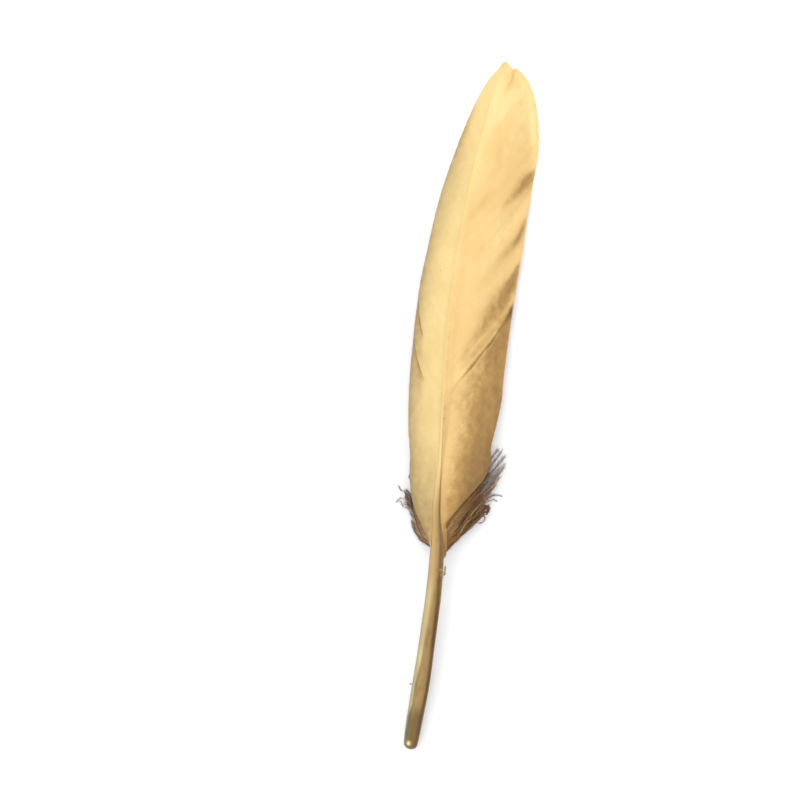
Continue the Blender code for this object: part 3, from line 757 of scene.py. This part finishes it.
def add_vane(name, rings, values, gold, tip, blotched):
    """A vane's piece in its gold."""
    piece = add_tubes(f"{name}_vane", rings, values, BLADE_COLUMNS, BLADE_EDGE)
    piece.data.materials.append(gold_on_vane(f"gold on the {name} vane", gold, tip, blotched))


rings, values, across, along = vane(LEADING_BARBS, LEADING_BOW, LEADING_ROOTS, -1, LEADING_PARTINGS, 11)
edge_x, edge_y = across[:, -1], along[:, -1]
slant = np.cos(np.arctan(np.interp(along, edge_y, np.gradient(edge_x, edge_y))))
inwards = (across - np.interp(along, edge_y, edge_x)) * slant  # square to the vane's edge
inwards = np.maximum(inwards, 0)
# rim: painted shade along the leading vane's edge, where it bends steeply down away from the light, and an
# olive tone low on the vane
peak = line(
    ((54, 0), (58, 0.1), (62, 0.4), (66, 0.56), (76, 0.68), (96, 0.78), (108, 0.86), (116, 0.74),
     (132, 0.66), (145, 0.58), (155, 0.58), (160, 0.52), (165, 0.28), (172, 0)),
    along * MM,
)
width = line(
    ((60, 2.2), (72, 3), (96, 2.8), (106, 2.1), (130, 2.2), (143, 3.4), (150, 3), (156, 1.9), (160, 1.2),
     (168, 1)),
    along * MM,
)
lower = line(((54, 0.48), (64, 0.46), (72, 0.2), (80, 0.02), (84, 0)), along * MM)
rim = peak * np.exp(-((inwards / width) ** 1.4)) + lower
russet = line(
    ((64, 0), (80, 0.3), (98, 0.42), (120, 0.42), (130, 0.2), (145, 0.2), (157, 0.36), (164, 0.3), (169, 0)),
    along * MM,
)
russet_width = line(((150, 0.55), (156, 1.2), (164, 0.8), (170, 0.5)), along * MM)
# Leading vane: browner low down and in a russet strip by the rim, with frayed edges and painted shade below
# its partings
thin_and_shade = 0.2 * (1 - step_up(along, 46, 84)) + russet * bell(inwards, 0, russet_width)
thin_and_shade = thin_and_shade + strokes(LEADING_FRAY, across, along)
values |= {
    "rim": rim[..., None], "thin_and_shade": thin_and_shade[..., None] + 0.8 * values["shade"],
    "tip": step_up(along, 146, 160)[..., None],
}
add_vane("leading", rings, values, GOLD_LEADING, GOLD_LEADING_TIP, LEADING_BLOTCH)

rings, values, across, along = vane(TRAILING_BARBS, TRAILING_BOW, TRAILING_ROOTS, 1, TRAILING_PARTINGS, 23)
# Below the split the gold is browner towards the edge, partly painted shade where the vane slopes away
below = 1 - step_up(along[:, -1:], 114.5, 118)
thin_and_shade = below * (0.08 + 0.58 * step_up(across, -2.5, 8))
thin_and_shade = thin_and_shade + below * 0.44 * (1 - step_up(along, 60, 90)) * step_up(across, -1.5, 5)
thin_and_shade = thin_and_shade + below * 0.14 * (1 - step_up(along, 86, 100)) * step_up(across, 8, 10.5)
thin_and_shade = thin_and_shade - below * 0.1 * (bell(along, 101, 5) * bell(across, 4.5, 3) + step_up(across, 9, 10.5))
thin_and_shade = thin_and_shade + 0.35 * (1 - step_up(along, 53, 61)) * step_up(across, 0.2, 1.2)
# painted shade beside the shaft near the vane's foot
beside = line(((55, 0.12), (58, 0.17), (60, 0.17), (62, 0.1), (68, 0.06), (71, 0)), along * MM)
thin_and_shade = thin_and_shade + beside * bell(across, 0, 1.6)
# painted shade in the folds, along the split and the rachis's flank; the frayed lower edge is browner
thin_and_shade = np.maximum(thin_and_shade, strokes(FOLDS, across, along)) + strokes(SPLIT, across, along) * 0.6
thin_and_shade = thin_and_shade + strokes(RACHIS_FLANK, across, along) + strokes(TRAILING_FRAY, across, along)
# painted shade in the groove beside the rachis near the foot, and at the split's mouth
groove_depth = line(((52, 0.3), (58, 0.3), (61, 0.2), (64, 0.06), (70, 0.08), (82, 0)), along * MM)
groove_width = line(((54, 0.3), (57, 0.5), (60, 0.6), (63, 0.4), (70, 0.3)), along * MM)
groove = groove_depth * bell(across, across[:, :1], groove_width)
values |= {
    "bare_and_shadow": values["bare_and_shadow"] + (groove + strokes(MOUTH, across, along))[..., None],
    "rim": 0, "thin_and_shade": thin_and_shade[..., None], "tip": strokes(PALE, across, along)[..., None],
}
add_vane("trailing", rings, values, GOLD_TRAILING, GOLD_TRAILING_TIP, TRAILING_BLOTCH)

# Down: at the foot of each vane the barbs have no hooks. Paint has stuck them down into a matted brown
# sheet next to the shaft, which frays into soft grey ends. Each free barb is a stem with fine strands.
LEFT_MAT = MM * np.array(
    [(52.6, -3.7, 53.3), (53.2, -5.2, 54.2), (54, -6.6, 55.5), (54.8, -7.8, 57.2), (55.6, -8.2, 59),
     (56.4, -8.4, 60.7), (57.2, -8.9, 63), (58, -9.8, 65)]
)
RIGHT_MAT = MM * np.array(
    [(49.6, 2.5, 53.2), (50.4, 3.8, 55), (51.4, 5.6, 57.2), (52.4, 7.1, 59.5), (53.2, 8.4, 61.5),
     (54, 9.2, 63.6), (55, 9.4, 66), (56.4, 10, 69.4), (57.8, 10.5, 72.6), (59.4, 10.4, 76)]
)
LEFT_MAT_BOW, RIGHT_MAT_BOW = ((51, 0.16),), ((50, 0.05),)
MAT_ROOTS = ((50, 0.3),)
MAT_BARBS, MAT_LOOSE = 90, 5.0
LEFT_FALL, RIGHT_FALL = (0.9, 2.2), (0.8, 2.4)  # how far the sheet lies below the vane, in millimetres
# Along each tuft's edge, from 0 to 1: where stems end, how much they bow, how grey and how dark they are
LEFT_DOWN = np.array(
    [(0, -5.4, 54.5, 0.16, 0.3, 0.25), (0.12, -7.9, 57.3, 0.16, 0.5, 0.2),
     (0.22, -8.45, 59.3, 0.12, 0.65, 0.1), (0.28, -8.5, 60.3, 0, 0.8, 0),
     (0.32, -9.8, 61.5, -0.28, 0.95, 0.05), (0.4, -10.4, 62.4, -0.25, 0.95, 0.2),
     (0.56, -10.5, 63.8, -0.08, 0.85, 0.75), (0.76, -10.7, 65.3, 0, 0.75, 0.75),
     (0.9, -10.7, 66.3, 0.02, 0.8, 0.5), (1, -9.9, 66.3, 0.06, 0.8, 0.4)]
)
RIGHT_DOWN = np.array(
    [(0, 3.1, 54.2, 0.04, 0, 0.15), (0.05, 4.8, 56.6, 0.05, 0, 0.15), (0.1, 6.8, 59.2, 0.05, 0.05, 0.2),
     (0.18, 8.8, 61.4, 0.05, 0.15, 0.3), (0.28, 10.8, 63.2, 0.05, 0.25, 0.5),
     (0.38, 11.4, 65.4, 0.05, 0.2, 0.25), (0.45, 12.1, 68.2, 0.04, 0.15, -0.25),
     (0.52, 13, 71.2, 0.05, 0.2, -0.2), (0.62, 13.3, 74, 0.07, 0.45, -0.05),
     (0.78, 14.2, 77.3, 0.07, 0.85, 0.15), (0.9, 12.8, 80, 0.06, 0.9, 0.2), (1, 10.9, 80.2, 0.05, 0.8, 0.2)]
)
LEFT_ROOTS, RIGHT_ROOTS = (52.8 * MM, 57.5 * MM), (49.5 * MM, 60 * MM)
LEFT_STEMS, RIGHT_STEMS = 142, 178
LOCK_STEMS, LOCK_PULL = 11, 0.8  # how many stems hang together, and how near their ends come
LOCK_STRAY, PLACE_STRAY = 0.25, 0.008
# Single barbs that have curled away: half thickness, how far below the vane, how gilded and how dark,
# then the path's points, across and along
LEFT_CURLS = [
    (0.05, 1.4, 0, 0, -8.8, 62.8, -9.4, 64.2, -10.4, 66, -11.4, 66, -12.1, 66.4, -12.5, 67.1),
    (0.07, 1.6, 0, 0, -8.6, 61.6, -9.1, 63.1, -10.4, 64.1, -11.5, 64.1, -12.2, 63.6, -12.6, 62.9),
    (0.05, 1.8, 0, 0, -8, 59.6, -9.2, 61.4, -10.2, 61.7, -10.9, 62.2, -11.3, 62.9, -11.8, 63.2),
    (0.03, 1, 0, 0.3, -9.7, 68.6, -9.9, 69, -10.1, 69.3, -10.25, 69.6, -10.3, 69.9, -10.2, 70.2),
    (0.04, 0.3, 0, 0.3, -1.9, 16.5, -2.05, 16.8, -2.2, 16.9, -2.35, 16.8, -2.5, 16.8, -2.65, 16.9),
    (0.09, 0.2, 0.6, 0.1, -4.3, 56.4, -5.2, 58.3, -6.1, 59.7, -6.9, 60.8, -7.5, 61.7, -8, 62.4),
    (0.07, 0.8, 0.3, 0.5, -3.4, 53.8, -4.9, 55.4, -6.1, 57.2, -7, 59.2, -7.8, 61, -8.4, 62.4),
]
RIGHT_CURLS = [
    (0.08, 2, 0, 0.1, 6, 61, 8.6, 64.4, 10.8, 67.1, 12, 67.9, 13.3, 68.2, 14.4, 68),
    (0.05, 2.2, 0, 0.1, 6.4, 60.6, 8.8, 63.6, 10.4, 65.8, 11.5, 66.6, 12.4, 66.9, 13.1, 66.7),
    (0.04, 2.6, 0, 0, 6, 58, 7.7, 60, 8.9, 60.3, 10, 60.5, 10.7, 61.4, 10.5, 62.2),
    (0.06, 2, 0, 0.6, 7.6, 60.6, 9, 62, 10.2, 62.6, 11.2, 63.4, 11.2, 64.4, 10.2, 65),
    (0.07, 1.6, 0, 0.7, 7.8, 62, 9.3, 63.4, 10.4, 64.7, 11.3, 64.9, 11.5, 64.1, 10.8, 63.2),
    (0.07, 1.8, 0, 0.7, 8, 61.2, 9.5, 62.8, 10.3, 63.9, 10.1, 64.9, 9.2, 65.1, 8.9, 64.3),
    (0.06, 1.4, 0, 0.7, 7.4, 61.6, 8.8, 63.8, 9.8, 65, 10.8, 65.1, 11, 64, 10.1, 63.3),
    (0.08, 1.3, 0, 0.4, 7.6, 61.2, 8.8, 62.6, 9.8, 63.6, 10.6, 64.6, 10, 65.3, 9, 65),
    (0.07, 1.1, 0.3, 0.3, 8, 62.6, 9, 64, 10, 65, 11, 65, 11.4, 64, 11, 63),
    (0.09, 1.6, 0, 0.6, 7.4, 60.4, 8.8, 61.4, 9.6, 62.2, 10.2, 63.2, 9.6, 64.2, 8.8, 63.8),
    (0.03, 0.2, 0, 0.1, 1.5, 44.6, 1.9, 45.2, 2.1, 45.8, 2.2, 46.4, 2.15, 47.2, 2.2, 48.4),
    (0.09, 0.9, 0.6, 0, 4.8, 57.4, 5.4, 58.8, 6.1, 60.1, 6.9, 61.1, 7.9, 61.8, 8.7, 62.9),
    (0.1, 1, 0.65, 0, 6.8, 61.6, 7.2, 62.8, 8, 64, 8.8, 65, 9.6, 65.8, 10.4, 66),
    (0.09, 0.8, 0.3, 0.3, 2.2, 54.8, 3.4, 57, 4.7, 59, 5.8, 61, 6.8, 63, 7.8, 65),
    (0.09, 0.8, 0.3, 0.2, 1.8, 57.4, 3.2, 60, 4.8, 62.6, 6.2, 65, 7.8, 67, 9.4, 68.6),
]
CURL_COPIES, CURL_DRIFT = 3, 0.26 * MM
# Where the matted sheets are dark, partly painted shade under the gold vanes' lower edges, and where they
# are gilded: soft strokes as on the vanes
LEFT_DARK = [
    [(-2.9, 53.2, 0.3, 0.7), (-4.6, 54, 0.3, 0.5), (-6.6, 56.1, 0.35, 0.5), (-8, 59, 0.4, 0.3)],
    [(-4.6, 56, 0.4, 0.35), (-5.6, 57.6, 0.5, 0.35), (-6.4, 59.6, 0.4, 0.2), (-8, 62, 0.3, 0.2)],
    [(-9, 63, 0.4, 0.5), (-9.5, 64.4, 0.5, 0.7)],
]
LEFT_GILT = [
    [(-3.2, 54.2, 0.9, 0.45), (-5.4, 57, 0.9, 0.2), (-7.2, 60.2, 0.8, 0.35), (-7.8, 61.2, 0.5, 0.1)],
    [(-6.4, 56.6, 0.2, 0.5), (-7.7, 59.6, 0.2, 0.5)],
]
# Where they are grey
LEFT_GREY = [
    [(-4.6, 55.2, 1, 0.25), (-6.4, 56.8, 1, 0.4), (-7.8, 58.8, 0.8, 0.5), (-8.3, 60.6, 0.8, 0.75),
     (-9, 62.2, 1, 1), (-9.6, 64, 1, 1)],
]
RIGHT_GREY = [
    [(10.4, 70, 0.9, 0.2), (10.8, 72, 1.3, 0.5), (10.8, 76, 1.6, 0.7)],
    [(6.2, 60.2, 0.3, 0.15), (8.2, 62.6, 0.5, 0.2), (9.2, 65, 0.4, 0.2)],
]
# first path: painted shade under the gold vane's lower edge
RIGHT_DARK = [
    [(1.1, 59.6, 0.3, 0.1), (3.8, 64.1, 0.4, 0.5), (5.6, 66.9, 0.4, 0.7), (7.4, 69.5, 0.5, 0.9),
     (8.7, 71.8, 0.6, 0.9), (9.9, 74.4, 0.5, 0.8)],
    [(3.2, 56.4, 0.7, 0.4), (4.1, 58.4, 0.9, 0.62), (5, 60.2, 0.9, 0.85), (5.9, 62, 0.7, 0.7),
     (6.8, 64, 0.5, 0.4), (7.3, 65, 0.4, 0.1)],
    [(4.8, 56.4, 0.25, 0.3), (6.1, 58.1, 0.3, 0.4), (7.3, 59.8, 0.3, 0.3), (8.6, 61.4, 0.3, 0.4)],
    [(1.9, 51.5, 0.4, 0.7), (2.7, 54, 0.4, 0.5), (3.4, 54.8, 0.3, 0.4)],
    [(8.4, 69, 0.35, 0.6), (9.6, 70.4, 0.4, 0.7)],
]
RIGHT_GILT = [
    [(1.4, 58, 0.5, 0.5), (2.5, 60.4, 0.7, 0.5), (3.8, 62, 0.8, 0.5), (5, 64.6, 0.7, 0.3)],
    [(7.4, 65.4, 0.9, 0.6), (8.4, 67.4, 1.1, 0.75), (9.6, 69.4, 0.9, 0.5), (10.6, 72, 0.8, 0.3)],
    [(4.9, 57.8, 0.25, 0.7), (6.3, 60.4, 0.25, 0.7), (7.8, 61.8, 0.25, 0.7)],
    [(6.9, 62.3, 0.25, 0.6), (8.4, 64.8, 0.3, 0.7), (9.8, 66, 0.25, 0.6)],
]
STEM_STATIONS, STEM_SIDES = 22, 5
STEM_THICK, STEM_TAPER, THICK_SPREAD = 0.1 * MM, 0.78, (0.6, 1.4)
STEM_ROOTS, STEM_ENDS = (-1.1, 0.1), (0.3, 3.2)  # how high: by the shaft's middle, and over the floor
STEM_LACK, STEM_BOWS = 0.2, (0.3, 1.7)  # how far they may end short, and how their bow varies
STEM_TURNS, STEM_CURL = (1.5, 5), 0.3  # their slow curl: half turns, and its size in millimetres
GREY_SPREAD, DARK_SPREAD = 0.2, 0.25
GREY_FROM, GREY_OUTSIDE = 0.5, 8 * MM  # stems turn grey halfway, but curls that start farther out at once
STEM_ROW = 1.7  # how far apart stems lie in their finish's noise
STEM_SAG = 1.5 * MM  # how far the stems hang below the matted sheet halfway along
STRANDS, STRAND_STATIONS, STRAND_SIDES = 34, 5, 3
STRAND_LENGTH, STRAND_LEAN = (0.4 * MM, 1.6 * MM), (0.35, 1.1)
STRANDS_FROM, STRANDS_LATER, CURL_STRANDS_FROM = 0.4, 0.3, 0.45  # as shares of the stem
CURL_LENGTH, CURL_STRANDS = 6 * MM, (0.2, 0.6)  # strands on a curl are smaller, most so on a short one
STRAND_THICK, STRAND_THIN = 0.04 * MM, 0.014 * MM


def round_rings(path, radius, sides):
    """Rings of so many sides about paths[tube, station], each square to its path."""
    ahead = unit(np.gradient(path, axis=1))
    across = unit(np.cross(ahead, (0.05, 0.03, 1)))
    over = np.cross(across, ahead)
    turn = np.arange(sides)[:, None] * 2 * math.pi / sides
    ring = across[:, :, None] * np.cos(turn) + over[:, :, None] * np.sin(turn)
    return path[:, :, None] + ring * radius[..., None, None]


def spray(ends, root_range, count, side, chance):
    """Stems of one tuft, each a quadratic arc from the shaft with a slow curl, and how grey and dark."""
    share = (np.arange(count) + 0.5) / count
    lock = np.floor(share * count / LOCK_STEMS + chance.normal(0, LOCK_STRAY, count)) + 0.5
    lock = lock * LOCK_STEMS / count
    place = np.clip(share + (lock - share) * LOCK_PULL + chance.normal(0, PLACE_STRAY, count), 0, 1)
    start = shaft_at(root_range[0] + (root_range[1] - root_range[0]) * share)
    start[:, 2] += chance.uniform(*STEM_ROOTS, count) * MM
    end_x, end_y, bow, grey, dark = smooth(ends, place).T
    end = np.stack([end_x * MM, end_y * MM, chance.uniform(*STEM_ENDS, count) * MM], axis=-1)
    reach = end - start
    end = start + reach * (1 - STEM_LACK * chance.uniform(0, 1, count) ** 1.5)[:, None]
    bow = bow * side * chance.uniform(*STEM_BOWS, count)
    bend = (start + end) / 2 + np.stack([reach[:, 1] * bow, -reach[:, 0] * bow, -reach[:, 2] * 0.25], axis=-1)
    out = np.linspace(0, 1, STEM_STATIONS)[None, :, None]
    stems = arc(start[:, None], bend[:, None], end[:, None], out)
    turns = chance.uniform(*STEM_TURNS, (count, 1, 1)) * out + chance.uniform(0, 2, (count, 1, 1))
    curl = chance.normal(0, STEM_CURL, (count, 1, 3)) * MM * np.sin(turns * math.pi)
    stems = stems + curl * out * np.minimum(1, 2.5 - 2 * out)
    stems[..., 2] -= STEM_SAG * np.sin(math.pi * out[..., 0] ** 0.8)
    return stems, grey, dark


def curled(curls, chance):
    """Stems along given paths, a few of each that drift apart outwards, and how thick, gilded and dark."""
    table = np.array(curls)
    thick, drop, gilt, dark = table[:, :4].T
    paths = table[:, 4:].reshape(len(table), -1, 2) * MM
    out = np.linspace(0, 1, STEM_STATIONS)
    knots = np.linspace(0, 1, paths.shape[1])
    flat = np.stack([smooth(np.column_stack([knots, path]), out) for path in paths])
    stems = np.concatenate([flat, (underside(flat) - drop[:, None] * MM)[..., None]], axis=-1)
    stems = np.repeat(stems, CURL_COPIES, axis=0)
    drift = chance.normal(0, CURL_DRIFT, (len(stems), 1, 3)) * (out**0.7 * (1 - 0.6 * out))[:, None]
    return stems + drift, *np.repeat([thick * MM, gilt, dark], CURL_COPIES, axis=1)


def side_strands(stems, inner, size, chance):
    """Fine strands that leave their stems forwards and to all sides, past the inner share of each.

    Their length is drawn at random, shrinks by half towards the stem's end, and goes with its size.
    """
    count = len(stems)
    at = np.sort(chance.uniform(np.broadcast_to(inner[:, None], (count, STRANDS)), 1), axis=1)
    station = at * (STEM_STATIONS - 1)
    low = np.minimum(station.astype(int), STEM_STATIONS - 2)
    part = (station - low)[..., None]
    stem = np.arange(count)[:, None]
    foot = stems[stem, low] * (1 - part) + stems[stem, low + 1] * part
    ahead = unit(stems[stem, low + 1] - stems[stem, low])
    aside = unit(chance.normal(size=(count, STRANDS, 3)) * (1, 1, 0.6))
    lean = chance.uniform(*STRAND_LEAN, (count, STRANDS, 1))
    leaving = unit(ahead + aside * lean)
    long = chance.uniform(*STRAND_LENGTH, (count, STRANDS, 1)) * (1 - 0.5 * at[..., None] ** 2)
    long = long * size[:, None, None]
    tip = foot + leaving * long * 0.55 + unit(ahead + aside * lean * 0.4) * long * 0.45
    turn_at = foot + leaving * long * 0.5
    way = np.linspace(0, 1, STRAND_STATIONS)[:, None]
    return arc(*(point.reshape(-1, 1, 3) for point in (foot, turn_at, tip)), way), at


DOWN_BROWN, DOWN_GREY, DOWN_GOLD = (0.25, 0.132, 0.044), (0.37, 0.305, 0.272), (0.5, 0.35, 0.155)
DOWN_DARK = (0.088, 0.041, 0.018)
DOWN_SHINE = 0.08


def down_finish(name):
    """Soft brown to grey down, dull, with painted shade in its hollows and gaps, and gold where paint has
    caught.
    """
    paint = Paint(name)
    combed = paint.node("CombineXYZ", {}, {"X": paint.own("row"), "Y": paint.own("out") * 9})
    dashes = paint.noise((1, 1, 1), 2.0, 0.6, combed, 1.4)
    gaps = paint.noise((1.6, 0.7, 1), 2.0, 0.6, combed, 1.7)
    hollows = paint.noise((900, 700, 900), 3.0)
    colour = paint.mix(paint.own("tone") + (gaps - 0.5) * 0.9, DOWN_BROWN, DOWN_GREY)
    gilt = paint.between(paint.own("gilt") + (dashes - 0.5) * 1.3, 0.3, 0.85)
    colour = paint.mix(gilt, colour, DOWN_GOLD)
    # painted shade in the hollows and between the strands
    hidden = paint.own("dark") + (hollows - 0.48) + (0.5 - gaps) * 1.2
    colour = paint.mix(paint.between(hidden, 0.2, 0.8), colour, DOWN_DARK)
    return paint.finish({
        "Base Color": colour, "Metallic": gilt * 0.3, "Roughness": 0.8 - gilt * 0.3,
        "Specular IOR Level": DOWN_SHINE,
    })


def add_down(name, sheet, bow, fall, dark, gilt, ashen, ends, root_range, count, curls, side, seed):
    """One tuft: its matted sheet, its stems and their strands, each a piece."""
    finish = down_finish(name.replace("_", " "))
    chance = np.random.default_rng(seed)
    rings, values, across, along = vane(sheet, bow, MAT_ROOTS, side, [], seed, MAT_BARBS, MAT_LOOSE, fall)
    matted = {"row": values["row"], "out": values["out"]}
    for label, paths, streaks in (("tone", ashen, 0.12), ("gilt", gilt, 0.1), ("dark", dark, -0.12)):
        matted[label] = strokes(paths, across, along)[..., None] + streaks * values["streak"]
    mat = add_tubes(f"{name}_mat", rings, matted, BLADE_COLUMNS, BLADE_EDGE)

    stems, grey, darker = spray(ends, root_range, count, side, chance)
    loose, thick, gilded, shadowed = curled(curls, chance)
    stems = np.concatenate([stems, loose])
    thick = np.concatenate([STEM_THICK * chance.uniform(*THICK_SPREAD, count), thick])
    ungilded = np.where(gilded > 0, 0, 1 - shadowed)
    grey = np.concatenate([grey + chance.normal(0, GREY_SPREAD, count), ungilded])
    darker = np.concatenate([darker + chance.normal(0, DARK_SPREAD, count), shadowed])
    gilded = np.concatenate([0.5 * chance.uniform(0, 1, count) ** 2, gilded])
    stems[..., 2] = np.maximum(stems[..., 2], STEM_THICK)
    out = np.linspace(0, 1, STEM_STATIONS)
    radius = thick[:, None] * (1 - STEM_TAPER * out**0.8)
    outside = np.abs(loose[:, 0, 0]) > GREY_OUTSIDE
    late = np.concatenate([np.full(count, GREY_FROM), np.where(outside, 0, GREY_FROM)])[:, None]
    free = step_up(out - late, 0, 0.45)[..., None]
    row = np.arange(len(stems)) * STEM_ROW
    numbers = {
        "row": row[:, None, None], "out": 2 * out[:, None],
        "tone": np.clip(grey, 0, 1)[:, None, None] * free,
        "dark": darker[:, None, None], "gilt": gilded[:, None, None],
    }
    stem_piece = add_tubes(f"{name}_stems", round_rings(stems, radius, STEM_SIDES), numbers, BLADE_COLUMNS)
    inner = STRANDS_FROM + STRANDS_LATER * np.linspace(0, 1, count)
    inner = np.concatenate([inner, np.full(len(loose), CURL_STRANDS_FROM)])
    length = np.linalg.norm(np.diff(loose, axis=1), axis=-1).sum(axis=1)
    size = np.concatenate([np.ones(count), np.clip(length / CURL_LENGTH, *CURL_STRANDS)])
    strands, at = side_strands(stems, inner, size, chance)
    strands[..., 2] = np.maximum(strands[..., 2], STRAND_THICK)
    way = np.linspace(0, 1, STRAND_STATIONS)
    fine = np.broadcast_to(STRAND_THICK + (STRAND_THIN - STRAND_THICK) * way, strands.shape[:2])
    spread = {
        label: np.repeat(numbers, STRANDS)[:, None, None]
        for label, numbers in (("row", row), ("tone", grey), ("dark", darker * 0.8), ("gilt", gilded * 0.5))
    }
    spread["out"] = 2 * at.reshape(-1, 1, 1)
    strand_piece = add_tubes(f"{name}_strands", round_rings(strands, fine, STRAND_SIDES), spread, 64)
    for piece in (mat, stem_piece, strand_piece):
        piece.data.materials.append(finish)


add_down(
    "left_down", LEFT_MAT, LEFT_MAT_BOW, LEFT_FALL, LEFT_DARK, LEFT_GILT, LEFT_GREY, LEFT_DOWN, LEFT_ROOTS,
    LEFT_STEMS, LEFT_CURLS, -1, 5,
)
add_down(
    "right_down", RIGHT_MAT, RIGHT_MAT_BOW, RIGHT_FALL, RIGHT_DARK, RIGHT_GILT, RIGHT_GREY, RIGHT_DOWN,
    RIGHT_ROOTS, RIGHT_STEMS, RIGHT_CURLS, 1, 7,
)
